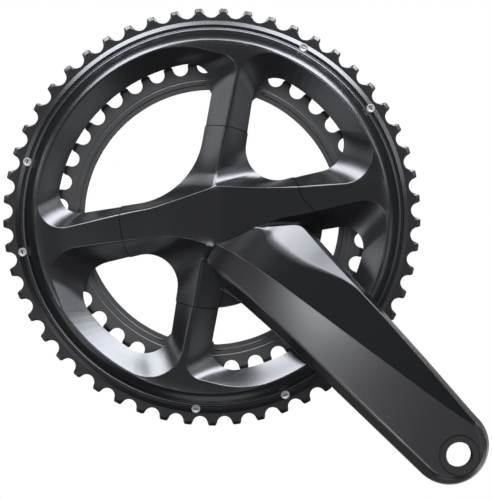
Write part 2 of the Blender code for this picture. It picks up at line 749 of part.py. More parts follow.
def build_spindle():
    """Hollow spindle with splines on its left end."""
    count = SPLINE_COUNT * SPLINE_POINTS
    bore = SPINDLE_RADIUS - SPINDLE_WALL
    spline_start = -(SPINDLE_LEFT_REACH - SPLINE_LENGTH)
    left = -SPINDLE_LEFT_REACH

    def ring(out, depth):
        points = []
        for i, p in enumerate(circle(1.0, count)):
            in_groove = i % SPLINE_POINTS >= SPLINE_POINTS / 2
            points.append(at(p * (SPINDLE_RADIUS - (depth if in_groove else 0.0)), out))
        return points

    def hole(out):
        return [at(p, out) for p in circle(bore, count)]

    rows = [
        ring(SPINDLE_END, 0.0),
        ring(spline_start, 0.0),
        ring(spline_start - SPLINE_DEPTH, SPLINE_DEPTH),
        ring(left, SPLINE_DEPTH),
        hole(left),
        hole(SPINDLE_END),
    ]
    bm = bmesh.new()
    loops = [[bm.verts.new(point) for point in row] for row in rows]
    for first, second in zip(loops, loops[1:] + loops[:1]):
        bridge(bm, first, second)
    return finish_mesh("spindle", bm)


def build_cup(name, side):
    """Threaded cup with a notched flange and a bearing seat."""
    inner = SHELL_FACE - CUP_THREAD_LENGTH
    bore = CUP_THREAD_RADIUS - CUP_THREAD_WALL
    seat = BEARING_RADIUS + RUNNING_GAP
    seat_floor = BEARING_INNER_FACE - GAP
    profile = [
        (CUP_THREAD_RADIUS, inner),
        (CUP_THREAD_RADIUS, SHELL_FACE),
        (CUP_RADIUS, SHELL_FACE),
        (CUP_RADIUS, CUP_FACE),
        (seat, CUP_FACE),
        (seat, seat_floor),
        (bore, seat_floor),
        (bore, inner),
    ]
    cup = turned(name, [(r, side * w) for r, w in profile], SHAFT_SEGMENTS)
    for point in circle(CUP_RADIUS + CUP_NOTCH_OFFSET, CUP_NOTCHES, math.pi / CUP_NOTCHES):
        ends = sorted((side * (SHELL_FACE + CUP_NOTCH_START), side * (CUP_FACE + CUT_MARGIN)))
        cut(cup, disc("notch", CUP_NOTCH_RADIUS, ends[0], ends[1], NOTCH_SEGMENTS, point))
    return cup


def race_profile(land, wall, groove_side):
    """Half section of a bearing race: its wall, its land and the ball's groove in the land."""
    middle = (BEARING_INNER_FACE + BEARING_OUTER_FACE) / 2
    groove = BALL_RADIUS + RUNNING_GAP
    reach = abs(land - BALL_CIRCLE_RADIUS)
    half = math.acos(reach / groove)
    points = [(wall, BEARING_INNER_FACE), (wall, BEARING_OUTER_FACE), (land, BEARING_OUTER_FACE)]
    for step in GROOVE_TURNS:
        turn = half * step
        radius = BALL_CIRCLE_RADIUS + groove_side * groove * math.cos(turn)
        points.append((radius, middle + groove * math.sin(turn)))
    points.append((land, BEARING_INNER_FACE))
    return points


def build_race(name, side, land, wall, groove_side):
    """Bearing race turned from its half section."""
    profile = race_profile(land, wall, groove_side)
    return turned(name, [(r, side * w) for r, w in profile], SHAFT_SEGMENTS)


def build_ball_ring(name, side):
    """Cage of a bearing with its balls."""
    middle = side * (BEARING_INNER_FACE + BEARING_OUTER_FACE) / 2
    profile = [
        (BALL_CIRCLE_RADIUS + CAGE_HALF_WALL, middle - CAGE_HALF_WIDTH),
        (BALL_CIRCLE_RADIUS + CAGE_HALF_WALL, middle + CAGE_HALF_WIDTH),
        (BALL_CIRCLE_RADIUS - CAGE_HALF_WALL, middle + CAGE_HALF_WIDTH),
        (BALL_CIRCLE_RADIUS - CAGE_HALF_WALL, middle - CAGE_HALF_WIDTH),
    ]
    cage = turned(name, profile, BALL_COUNT * 2)
    for point in circle(BALL_CIRCLE_RADIUS, BALL_COUNT):
        bm = bmesh.new()
        bmesh.ops.create_icosphere(bm, subdivisions=1, radius=BALL_RADIUS,
                                   matrix=Matrix.Translation(at(point, middle)))
        join(cage, finish_mesh("ball", bm))
    return cage


def build_seal(name, side, face):
    """Thin shield between the two races, let into the outer one's side."""
    low = INNER_LAND_RADIUS + GAP
    high = OUTER_LAND_RADIUS - RUNNING_GAP
    inward = math.copysign(SEAL_THICKNESS, (BEARING_INNER_FACE + BEARING_OUTER_FACE) / 2 - face)
    profile = [(high, face), (high, face + inward), (low, face + inward), (low, face)]
    return turned(name, [(r, side * w) for r, w in profile], SHAFT_SEGMENTS)


def build_dust_cover(name, side):
    """Plastic top hat: a flange over the cup's mouth and a thin sleeve inside the inner race."""
    low = SPINDLE_RADIUS + RUNNING_GAP
    sleeve = BEARING_BORE_RADIUS - RUNNING_GAP
    profile = [
        (COVER_RADIUS, COVER_FACE - COVER_THICKNESS),
        (COVER_RADIUS, COVER_FACE),
        (low, COVER_FACE),
        (low, BEARING_INNER_FACE),
        (sleeve, BEARING_INNER_FACE),
        (sleeve, COVER_FACE - COVER_THICKNESS),
    ]
    return turned(name, [(r, side * w) for r, w in profile], SHAFT_SEGMENTS)


def build_sleeve():
    """Plain tube that joins the two cups and keeps water off the spindle."""
    half = SHELL_FACE - CUP_THREAD_LENGTH + SLEEVE_OVERLAP
    bore = SLEEVE_RADIUS - SLEEVE_WALL
    profile = [(SLEEVE_RADIUS, -half), (SLEEVE_RADIUS, half), (bore, half), (bore, -half)]
    return turned("bb_sleeve", profile, SHAFT_SEGMENTS)


def build_o_ring(name, side):
    """Rubber ring between the sleeve and a cup."""
    cup_bore = CUP_THREAD_RADIUS - CUP_THREAD_WALL
    middle = (cup_bore + SLEEVE_RADIUS) / 2
    section = (cup_bore - SLEEVE_RADIUS) / 2 - RUNNING_GAP
    out = SHELL_FACE - CUP_THREAD_LENGTH + SLEEVE_OVERLAP / 2
    profile = [(middle + p.x, side * out + p.y) for p in circle(section, O_RING_SEGMENTS)]
    return turned(name, profile, SHAFT_SEGMENTS)


# Fasteners and pins


def bolt_mesh():
    """Chainring bolt along the crank axis: flat head with a socket behind, and a shank."""
    head_front = INNER_BACK - GAP
    head_back = head_front - BOLT_HEAD_HEIGHT
    profile = [
        (BOLT_SOCKET_RADIUS, head_back + BOLT_SOCKET_DEPTH),
        (BOLT_SOCKET_RADIUS, head_back),
        (BOLT_HEAD_RADIUS, head_back),
        (BOLT_HEAD_RADIUS, head_front),
        (BOLT_SHANK_RADIUS, head_front),
        (BOLT_SHANK_RADIUS, OUTER_MID + BOLT_THREAD_LENGTH),
    ]
    return stepped_pin("bolt", profile, BOLT_SEGMENTS)


def shift_pin_mesh():
    """Riveted pin along the crank axis: front head, shank and the back head that lifts the chain."""
    back = OUTER_BACK - GAP
    profile = [
        (SHIFT_PIN_TIP_RADIUS, back - SHIFT_PIN_RISE),
        (SHIFT_PIN_RADIUS, back),
        (SHIFT_PIN_SHANK_RADIUS, back),
        (SHIFT_PIN_SHANK_RADIUS, OUTER_FRONT),
        (SHIFT_PIN_RADIUS, OUTER_FRONT),
        (SHIFT_PIN_RADIUS, OUTER_FRONT + BAND_RISE),
        (SHIFT_PIN_SHANK_RADIUS, OUTER_FRONT + BAND_RISE),
        (SHIFT_PIN_SHANK_RADIUS, OUTER_FRONT + BAND_RISE - SHIFT_PIN_RECESS),
    ]
    return stepped_pin("shift_pin", profile, PIN_SEGMENTS)


def place_copies(pattern, names, places, material, parent):
    """One object for each place, all with the same mesh, and the pattern itself dropped."""
    for name, place in zip(names, places):
        copy = new_object(name, pattern.data)
        copy.location = at(place, 0.0)
        dress(copy, material, parent)
    bpy.data.objects.remove(pattern)


def build_fasteners(parent, steel, bright):
    """Bolts, shift pins and the pin that keeps the chain out from behind the arm."""
    bolts = [polar(BOLT_CIRCLE_RADIUS, angle) for angle in ARM_ANGLES]
    names = [f"chainring_bolt_{i + 1}" for i in range(len(bolts))]
    place_copies(bolt_mesh(), names, bolts, steel, parent)
    pins = [polar(SHIFT_PIN_CIRCLE_RADIUS, angle) for angle in shift_pin_angles()]
    names = [f"shift_pin_{i + 1}" for i in range(len(pins))]
    place_copies(shift_pin_mesh(), names, pins, bright, parent)
    floor = OUTER_MID + GAP
    place = polar(SHIFT_PIN_CIRCLE_RADIUS, CRANK_ANGLE)
    profile = [
        (DROP_PIN_RADIUS, floor),
        (DROP_PIN_RADIUS, floor + DROP_PIN_LENGTH - DROP_PIN_CHAMFER),
        (DROP_PIN_RADIUS - DROP_PIN_CHAMFER, floor + DROP_PIN_LENGTH),
    ]
    dress(stepped_pin("chain_drop_pin", profile, PIN_SEGMENTS, place), bright, parent)


# Assembly


def make_empty(name):
    """Empty on the crank axis that carries one body's pieces."""
    return new_object(name, None)


def build_bottom_bracket(parent, black, plastic, rubber, steel):
    """Standing half of the bearing: cups, sleeve, rings, outer races and seals."""
    dress(build_sleeve(), plastic, parent)
    for label, side in SIDES:
        dress(build_cup(f"bb_cup_{label}", side), black, parent)
        dress(build_o_ring(f"sleeve_o_ring_{label}", side), rubber, parent)
        race = build_race(f"bearing_outer_race_{label}", side, OUTER_LAND_RADIUS, BEARING_RADIUS, 1)
        dress(race, steel, parent)
        dress(build_seal(f"bearing_seal_outer_{label}", side, BEARING_OUTER_FACE), rubber, parent)
        dress(build_seal(f"bearing_seal_inner_{label}", side, BEARING_INNER_FACE), rubber, parent)


def build_turning_unit(parent, dark, grey, plastic, steel):
    """Turning half: spindle, arm, rings, inner races and dust covers."""
    dress(build_crank_arm(), dark, parent)
    dress(build_outer_chainring(), dark, parent)
    dress(build_inner_chainring(), grey, parent)
    dress(build_spindle(), steel, parent)
    for label, side in SIDES:
        race = build_race(f"bearing_inner_race_{label}", side, INNER_LAND_RADIUS, BEARING_BORE_RADIUS, -1)
        dress(race, steel, parent)
        dress(build_dust_cover(f"dust_cover_{label}", side), plastic, parent)


def main():
    """Build the whole crankset."""
    for obj in list(bpy.data.objects):
        bpy.data.objects.remove(obj)
    dark = make_material("dark_anodised", (0.035, 0.037, 0.041), 0.38, 0.7)
    grey = make_material("grey_anodised", (0.13, 0.13, 0.14), 0.4, 0.8)
    black = make_material("black_anodised", (0.02, 0.02, 0.022), 0.45, 0.6)
    plastic = make_material("black_plastic", (0.02, 0.02, 0.02), 0.55, 0.0)
    rubber = make_material("rubber", (0.03, 0.012, 0.01), 0.7, 0.0)
    steel = make_material("steel", (0.42, 0.42, 0.43), 0.3, 1.0)
    bright = make_material("bright_steel", (0.6, 0.6, 0.61), 0.3, 1.0)
    stand = make_empty("bottom_bracket")
    crank = make_empty("crank")
    build_bottom_bracket(stand, black, plastic, rubber, steel)
    build_turning_unit(crank, dark, grey, plastic, steel)
    build_fasteners(crank, steel, bright)
    for label, side in SIDES:
        dress(build_ball_ring(f"ball_ring_{label}", side), steel, make_empty(f"ball_axis_{label}"))


main()
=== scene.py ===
"""Dressed drive side of a bicycle crankset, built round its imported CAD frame.

Sizes are in millimetres, and those of the studio in metres. A flat point is (x, z) seen from the drive side,
and "out" is a distance from the middle of the bicycle towards the drive side. A mesh is made in metres, with
out along -Y.
"""

import logging
import math
from collections.abc import Iterable, Sequence
from dataclasses import dataclass, field
from enum import Enum

import bmesh
import bpy
import numpy as np
from mathutils import Matrix, Vector
from mathutils.geometry import delaunay_2d_cdt


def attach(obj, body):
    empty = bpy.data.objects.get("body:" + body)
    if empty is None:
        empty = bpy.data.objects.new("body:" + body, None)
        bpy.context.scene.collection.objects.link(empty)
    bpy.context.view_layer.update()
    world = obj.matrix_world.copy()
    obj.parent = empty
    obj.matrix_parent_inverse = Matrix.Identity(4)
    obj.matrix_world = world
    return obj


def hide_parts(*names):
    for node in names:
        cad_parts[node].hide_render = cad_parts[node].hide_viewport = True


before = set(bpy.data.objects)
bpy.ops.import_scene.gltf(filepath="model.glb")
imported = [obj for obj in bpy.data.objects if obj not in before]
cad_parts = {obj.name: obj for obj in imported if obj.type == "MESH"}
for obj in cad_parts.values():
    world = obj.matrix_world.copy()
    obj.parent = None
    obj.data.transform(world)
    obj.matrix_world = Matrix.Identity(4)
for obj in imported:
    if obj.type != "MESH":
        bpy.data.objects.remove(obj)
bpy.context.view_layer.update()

LOG = logging.getLogger("crankset")
MM = 0.001
Flat = tuple[float, float]
Place = tuple[float, float, float]
Colour = tuple[float, float, float]
Feed = dict[str | int, object]

# Sizes that several pieces share
CRANK_LENGTH = 175.0
PEDAL_ANGLE = math.radians(-43.9)
ARM_ANGLES = (10.0, 80.4, 190.0, 260.4)
BOLT_CIRCLE = 55.0
PIN_CIRCLE = 99.6
TAB_ROUND = 7.8

# How finely outlines and meshes are made
FILLET_SPANS = 16
FILLET_ROOM = 0.48
WIDE_FILLET_ROOM = 0.97
STRAIGHT = math.radians(89.8)
MERGE_DISTANCE = 1e-6


class Body(Enum):
    """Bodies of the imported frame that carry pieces."""

    STAND = "bottom_bracket"
    CRANK = "crank"


class Boolean(Enum):
    """Ways of combining two closed solids."""

    CUT = "DIFFERENCE"
    KEEP_COMMON = "INTERSECT"


class Ends(Enum):
    """What becomes of the two ends of a stack of rows."""

    OPEN = "left open"
    CAPPED = "closed by a face each"
    JOINED = "joined to each other"


# Flat outlines


def on_circle(radius: float, turn: float) -> Flat:
    """Flat point at a radius and an angle about the crank axis."""
    return radius * math.cos(turn), radius * math.sin(turn)


PEDAL = on_circle(CRANK_LENGTH, PEDAL_ANGLE)


@dataclass(frozen=True)
class Corner:
    """Corner of an outline, with the radius of its fillet and whether lofts line up on it."""

    x: float
    z: float
    fillet: float = 0.0
    key: bool = False

    @classmethod
    def polar(cls, radius: float, degrees: float, fillet: float = 0.0, key: bool = False) -> "Corner":
        """Corner at a radius and an angle about the crank axis."""
        return cls(*on_circle(radius, math.radians(degrees)), fillet, key)

    def half_turn(self) -> "Corner":
        """The same corner half a turn round the crank axis."""
        return Corner(-self.x, -self.z, self.fillet, self.key)


def arc(radius: float, first: float, last: float, count: int) -> tuple[Corner, ...]:
    """Plain corners along an arc from one angle in degrees to another, both ends included."""
    return tuple(Corner.polar(radius, a) for a in np.linspace(first, last, count))


def fillet_arc(before: Vector, corner: Vector, after: Vector, radius: float, steps: int,
               room: float = FILLET_ROOM) -> list[Vector]:
    """Points of a fillet between two edges that meet in a corner.

    Args:
        before: End of the edge that comes in.
        corner: Point where the edges meet.
        after: End of the edge that goes out.
        radius: Wanted radius, made smaller where an edge is too short for it.
        steps: Number of spans along the arc.
        room: Share of the shorter edge that the fillet may take.

    Returns:
        steps + 1 points from the first edge to the second.
    """
    back = before - corner
    forth = after - corner
    reach = room * min(back.length, forth.length)
    back.normalize()
    forth.normalize()
    half = back.angle(forth) / 2
    if half > STRAIGHT:
        return [corner.copy() for _ in range(steps + 1)]
    radius = min(radius, reach * math.tan(half))
    centre = corner + (back + forth).normalized() * (radius / math.sin(half))
    first = corner + back * (radius / math.tan(half)) - centre
    last = corner + forth * (radius / math.tan(half)) - centre
    start = math.atan2(first.y, first.x)
    sweep = (math.atan2(last.y, last.x) - start + math.pi) % math.tau - math.pi
    turns = [start + sweep * k / steps for k in range(steps + 1)]
    return [centre + Vector(on_circle(radius, t)) for t in turns]


def resample(path: Sequence[Vector], count: int) -> np.ndarray:
    """Evenly spaced points along an open path, without its last point.

    Args:
        path: Points of the path.
        count: Number of spans.

    Returns:
        The points as rows of (x, z).
    """
    points = np.array([tuple(p) for p in path])
    steps = np.linalg.norm(np.diff(points, axis=0), axis=1)
    along = np.concatenate([[0.0], np.cumsum(steps)])
    wanted = np.linspace(0.0, along[-1], count + 1)[:-1]
    return np.stack([np.interp(wanted, along, points[:, k]) for k in range(2)], axis=1)


def outline(corners: Sequence[Corner], counts: Sequence[int]) -> np.ndarray:
    """Closed outline through filleted corners, with a fixed count of points between its key corners.

    Args:
        corners: The corners in order.
        counts: Points from each key corner to the next.

    Returns:
        The points as rows of (x, z), the first on the first key corner.
    """
    points: list[Vector] = []
    keys: list[int] = []
    places = [Vector((corner.x, corner.z)) for corner in corners]
    for i, corner in enumerate(corners):
        after = places[(i + 1) % len(places)]
        steps = FILLET_SPANS if corner.fillet else 0
        if corner.key:
            keys.append(len(points) + steps // 2)
        if steps:
            points += fillet_arc(places[i - 1], places[i], after, corner.fillet, steps, WIDE_FILLET_ROOM)
        else:
            points.append(places[i])
    spans = []
    for k, count in enumerate(counts):
        start = keys[k]
        stop = keys[(k + 1) % len(keys)]
        path = points[start:stop + 1] if stop > start else points[start:] + points[:stop + 1]
        spans.append(resample(path, count))
    return np.concatenate(spans)


def spun(flat: np.ndarray, degrees: float) -> np.ndarray:
    """Flat points turned about the crank axis.

    Args:
        flat: Rows of (x, z).
        degrees: Angle of the turn.

    Returns:
        The turned rows.
    """
    turn = math.radians(degrees)
    ahead, aside = math.cos(turn), math.sin(turn)
    return flat @ np.array([[ahead, aside], [-aside, ahead]])


def shrink(loop: np.ndarray, inset: float) -> np.ndarray:
    """Closed loop moved inwards along its own normals.

    Args:
        loop: Rows of (x, z).
        inset: How far the loop moves.

    Returns:
        The moved rows.
    """
    ahead = np.roll(loop, -1, axis=0)
    tangent = ahead - np.roll(loop, 1, axis=0)
    normal = np.stack([-tangent[:, 1], tangent[:, 0]], axis=1)
    normal /= np.linalg.norm(normal, axis=1, keepdims=True)
    area = np.sum(loop[:, 0] * ahead[:, 1] - ahead[:, 0] * loop[:, 1])
    return loop + normal * math.copysign(inset, area)


def inside(points: np.ndarray, loop: np.ndarray) -> np.ndarray:
    """Which points lie inside a closed loop.

    Args:
        points: Rows of (x, z).
        loop: Rows of (x, z) round the loop.

    Returns:
        True for each point inside.
    """
    result = np.zeros(len(points), bool)
    for (x0, z0), (x1, z1) in zip(loop, np.roll(loop, -1, axis=0)):
        if z0 == z1:
            continue
        crosses = (z0 > points[:, 1]) != (z1 > points[:, 1])
        result ^= crosses & (points[:, 0] < (x1 - x0) * (points[:, 1] - z0) / (z1 - z0) + x0)
    return result


def smooth_step(value: float) -> float:
    """Smooth rise from 0 to 1 as the value goes from 0 to 1."""
    t = min(max(value, 0.0), 1.0)
    return t * t * (3.0 - 2.0 * t)


def between(table: Sequence[Flat], value: float | np.ndarray) -> float | np.ndarray:
    """Straight-line reading of a table of pairs."""
    return np.interp(value, *np.array(table, float).T)


# Meshes


class Draft:
    """Points (x, z, out) and faces gathered in millimetres before they become one mesh."""

    def __init__(self) -> None:
        """Start with nothing."""
        self.points: list[Place] = []
        self.tones: list[float] = []
        self.faces: list[tuple[int, ...]] = []

    def loop(self, points: Iterable[Sequence[float]], tones: Sequence[float] | None = None) -> list[int]:
        """Add a row of points.

        Args:
            points: Rows of (x, z, out).
            tones: Share of the lighter paint at each point, or none of it.

        Returns:
            The points' numbers.
        """
        start = len(self.points)
        self.points += [(float(x), float(z), float(out)) for x, z, out in points]
        count = len(self.points) - start
        self.tones += list(tones) if tones is not None else [0.0] * count
        return list(range(start, start + count))

    def flat_loop(self, points: Iterable[Sequence[float]], out: float) -> list[int]:
        """Add a row of flat points at one distance out."""
        return self.loop((x, z, out) for x, z in points)

    def bridge(self, first: Sequence[int], second: Sequence[int], closed: bool = True) -> None:
        """Quads between two rows of as many points.

        Args:
            first: One row.
            second: The other row.
            closed: Whether the rows run all the way round.
        """
        count = len(first)
        for i in range(count if closed else count - 1):
            j = (i + 1) % count
            self.faces.append((first[i], first[j], second[j], second[i]))

    def cap(self, row: Sequence[int]) -> None:
        """One face over a closed row."""
        self.faces.append(tuple(row))

    def stack(self, rows: Sequence[Sequence[int]], ends: Ends = Ends.OPEN) -> None:
        """Quads between each row and the next.

        Args:
            rows: Closed rows of as many points.
            ends: What becomes of the first and the last row.
        """
        for first, second in zip(rows, rows[1:]):
            self.bridge(first, second)
        if ends is Ends.JOINED:
            self.bridge(rows[-1], rows[0])
        if ends is Ends.CAPPED:
            self.cap(rows[0])
            self.cap(rows[-1])

    def fill(self, edge: Sequence[int], holes: Sequence[Sequence[int]], extra: Sequence[int] = ()) -> None:
        """Triangles between an outer row and the rows of its holes, seen from the front.

        Args:
            edge: Row round the outside.
            holes: Rows round the holes.
            extra: Loose points to take in.
        """
        rows = [list(edge), *[list(hole) for hole in holes]]
        index = [i for row in rows for i in row] + list(extra)
        edges = []
        start = 0
        for row in rows:
            edges += [(start + k, start + (k + 1) % len(row)) for k in range(len(row))]
            start += len(row)
        flat = [Vector(self.points[i][:2]) for i in index]
        _, _, triangles, origins, _, _ = delaunay_2d_cdt(flat, edges, [], 0, MERGE_DISTANCE)
        corners = np.array([[index[origins[k][0]] for k in triangle] for triangle in triangles])
        places = np.array(self.points)[:, :2]
        centres = places[corners].mean(axis=1)
        keep = inside(centres, places[rows[0]])
        for row in rows[1:]:
            keep &= ~inside(centres, places[row])
        self.faces += [tuple(int(i) for i in triangle) for triangle in corners[keep]]

    def solid(self, name: str) -> bpy.types.Object:
        """The gathered faces as an object, pointing outwards, with the tones as an attribute.

        Args:
            name: Name of the object and its mesh.

        Returns:
            The object, in the scene.
        """
        mesh = bpy.data.meshes.new(name)
        mesh.from_pydata([(x * MM, -out * MM, z * MM) for x, z, out in self.points], [], self.faces)
        attribute = mesh.attributes.new("tone", "FLOAT", "POINT")
        attribute.data.foreach_set("value", self.tones)
        bm = bmesh.new()
        bm.from_mesh(mesh)
        bmesh.ops.delete(bm, geom=[v for v in bm.verts if not v.link_faces], context="VERTS")
        bmesh.ops.recalc_face_normals(bm, faces=bm.faces)
        bm.to_mesh(mesh)
        bm.free()
        return add_object(name, mesh)


def add_object(name: str, data: bpy.types.ID) -> bpy.types.Object:
    """Put a mesh, lamp or camera in the scene.

    Args:
        name: Name of the object.
        data: What the object holds.

    Returns:
        The object.
    """
    obj = bpy.data.objects.new(name, data)
    bpy.context.scene.collection.objects.link(obj)
    return obj


def drop(obj: bpy.types.Object) -> None:
    """Remove a helper object and its mesh.

    Args:
        obj: The helper.
    """
    mesh = obj.data
    bpy.data.objects.remove(obj)
    bpy.data.meshes.remove(mesh)


def apply_modifier(obj: bpy.types.Object, modifier: bpy.types.Modifier) -> None:
    """Keep a modifier's result as the object's plain mesh.

    Args:
        obj: Object that has the modifier.
        modifier: Its only modifier, which is removed.
    """
    depsgraph = bpy.context.evaluated_depsgraph_get()
    mesh = bpy.data.meshes.new_from_object(obj.evaluated_get(depsgraph))
    obj.modifiers.remove(modifier)
    old = obj.data
    obj.data = mesh
    bpy.data.meshes.remove(old)


def combine(target: bpy.types.Object, tool: bpy.types.Object, way: Boolean) -> None:
    """Combine a closed solid with a tool solid, and drop the tool.

    Args:
        target: Solid that is changed.
        tool: Solid that cuts it.
        way: What is kept.
    """
    modifier = target.modifiers.new("combine", "BOOLEAN")
    modifier.operation = way.value
    modifier.solver = "MANIFOLD"
    modifier.object = tool
    apply_modifier(target, modifier)
    drop(tool)


def merge_into(target: bpy.types.Object, others: Sequence[bpy.types.Object]) -> bpy.types.Object:
    """Put the meshes of other objects into one object, and drop them.

    Args:
        target: Object that takes the meshes.
        others: Objects that are dropped.

    Returns:
        The target.
    """
    bm = bmesh.new()
    for obj in (target, *others):
        bm.from_mesh(obj.data)
    bm.to_mesh(target.data)
    bm.free()
    for obj in others:
        drop(obj)
    return target


def ring_points(radius: float, count: int, centre: Flat = (0.0, 0.0)) -> list[Flat]:
    """Flat points round a circle."""
    steps = [on_circle(radius, math.tau * i / count) for i in range(count)]
    return [(centre[0] + x, centre[1] + z) for x, z in steps]


def turned(name: str, profile: Sequence[Flat], count: int, ends: Ends = Ends.JOINED,
           centre: Flat = (0.0, 0.0)) -> bpy.types.Object:
    """Solid turned about an axis along the crank axis.

    Args:
        name: Name of the object.
        profile: Half section as (radius, out).
        count: Points round the axis.
        ends: Joined for a ring, or capped for a full solid.
        centre: Place of the axis.

    Returns:
        The object.
    """
    draft = Draft()
    rows = [draft.flat_loop(ring_points(radius, count, centre), out) for radius, out in profile]
    draft.stack(rows, ends)
    return draft.solid(name)


def eased(profile: Sequence[Flat], radius: float, steps: int = 3) -> list[Flat]:
    """Closed half section with each of its corners rounded off.

    Args:
        profile: Corners as (radius, out).
        radius: Radius of the rounding.
        steps: Spans of each rounding.

    Returns:
        The rounded section.
    """
    places = [Vector(p) for p in profile]
    points: list[Flat] = []
    for i, place in enumerate(places):
        after = places[(i + 1) % len(places)]
        points += [tuple(p) for p in fillet_arc(places[i - 1], place, after, radius, steps)]
    return points


# Nodes


def feed(tree: bpy.types.NodeTree, node: bpy.types.Node, inputs: Feed) -> None:
    """Set or link inputs of a node.

    Args:
        tree: Tree that holds the node.
        node: The node.
        inputs: Value of each input, or the socket that feeds it.
    """
    for key, value in inputs.items():
        if isinstance(value, bpy.types.NodeSocket):
            tree.links.new(value, node.inputs[key])
        else:
            node.inputs[key].default_value = value


def add_node(tree: bpy.types.NodeTree, kind: str, inputs: Feed, **settings: object) -> bpy.types.Node:
    """Add a node to a tree.

    Args:
        tree: Tree that gets the node.
        kind: Type of the node.
        inputs: Value of each input, or the socket that feeds it.
        settings: Properties of the node, such as its operation.

    Returns:
        The node.
    """
    node = tree.nodes.new(kind)
    for name, value in settings.items():
        setattr(node, name, value)
    feed(tree, node, inputs)
    return node


def calculate(tree: bpy.types.NodeTree, operation: str, *values: object) -> bpy.types.NodeSocket:
    """Result of a Math node that is fed with numbers or sockets."""
    return add_node(tree, "ShaderNodeMath", dict(enumerate(values)), operation=operation).outputs[0]


class RepeatTree:
    """Geometry Nodes trees that lay copies of a shape round the crank axis or on marked points."""

    @staticmethod
    def start(name: str, inputs: dict[str, str]) -> bpy.types.NodeTree:
        """Empty tree with geometry in and out and a material input.

        Args:
            name: Name of the tree.
            inputs: Socket type of each further input.

        Returns:
            The tree.
        """
        tree = bpy.data.node_groups.new(name, "GeometryNodeTree")
        tree.interface.new_socket("Geometry", in_out="OUTPUT", socket_type="NodeSocketGeometry")
        sockets = {"Geometry": "NodeSocketGeometry", "Material": "NodeSocketMaterial", **inputs}
        for label, kind in sockets.items():
            tree.interface.new_socket(label, in_out="INPUT", socket_type=kind)
        return tree

    @staticmethod
    def end(tree: bpy.types.NodeTree, copies: bpy.types.NodeSocket, material: bpy.types.NodeSocket) -> None:
        """Finish a tree: realise the copies, weld them and set their material.

        Args:
            tree: The tree.
            copies: Socket that gives the copies.
            material: Socket that gives the material.
        """
        realise = add_node(tree, "GeometryNodeRealizeInstances", {"Geometry": copies})
        weld = add_node(tree, "GeometryNodeMergeByDistance",
                        {"Geometry": realise.outputs["Geometry"], "Distance": MERGE_DISTANCE})
        paint = add_node(tree, "GeometryNodeSetMaterial",
                         {"Geometry": weld.outputs["Geometry"], "Material": material})
        add_node(tree, "NodeGroupOutput", {"Geometry": paint.outputs["Geometry"]})

    @classmethod
    def round_axis(cls) -> bpy.types.NodeTree:
        """Tree that turns copies of the incoming shape round the crank axis at even steps.

        Returns:
            The tree.
        """
        tree = cls.start("round_crank_axis", {"Count": "NodeSocketInt", "First Turn": "NodeSocketFloat"})
        entry = tree.nodes.new("NodeGroupInput").outputs
        points = add_node(tree, "GeometryNodePoints", {"Count": entry["Count"]})
        index = tree.nodes.new("GeometryNodeInputIndex")
        step = calculate(tree, "DIVIDE", -math.tau, entry["Count"])
        angle = calculate(tree, "MULTIPLY", index.outputs[0], step)
        turn = calculate(tree, "SUBTRACT", angle, entry["First Turn"])
        euler = add_node(tree, "ShaderNodeCombineXYZ", {"Y": turn})
        place = add_node(tree, "GeometryNodeInstanceOnPoints", {
            "Points": points.outputs[0], "Instance": entry["Geometry"], "Rotation": euler.outputs[0],
        })
        cls.end(tree, place.outputs["Instances"], entry["Material"])
        return tree

    @classmethod
    def on_points(cls) -> bpy.types.NodeTree:
        """Tree that sets a copy of a named object on every point of the incoming mesh.

        Returns:
            The tree.
        """
        tree = cls.start("on_marked_points", {"Piece": "NodeSocketObject"})
        entry = tree.nodes.new("NodeGroupInput").outputs
        piece = add_node(tree, "GeometryNodeObjectInfo", {"Object": entry["Piece"]})
        place = add_node(tree, "GeometryNodeInstanceOnPoints", {
            "Points": entry["Geometry"], "Instance": piece.outputs["Geometry"],
        })
        cls.end(tree, place.outputs["Instances"], entry["Material"])
        return tree


def run_tree(obj: bpy.types.Object, tree: bpy.types.NodeTree, values: dict[str, object]) -> None:
    """Run a Geometry Nodes tree on an object and keep the result as its plain mesh.

    Args:
        obj: Object whose mesh goes in.
        tree: Tree to run.
        values: Value of each named input.
    """
    modifier = obj.modifiers.new("repeat", "NODES")
    modifier.node_group = tree
    for item in tree.interface.items_tree:
        if item.item_type == "SOCKET" and item.in_out == "INPUT" and item.name in values:
            modifier[item.identifier] = values[item.name]
    apply_modifier(obj, modifier)


# Finishes


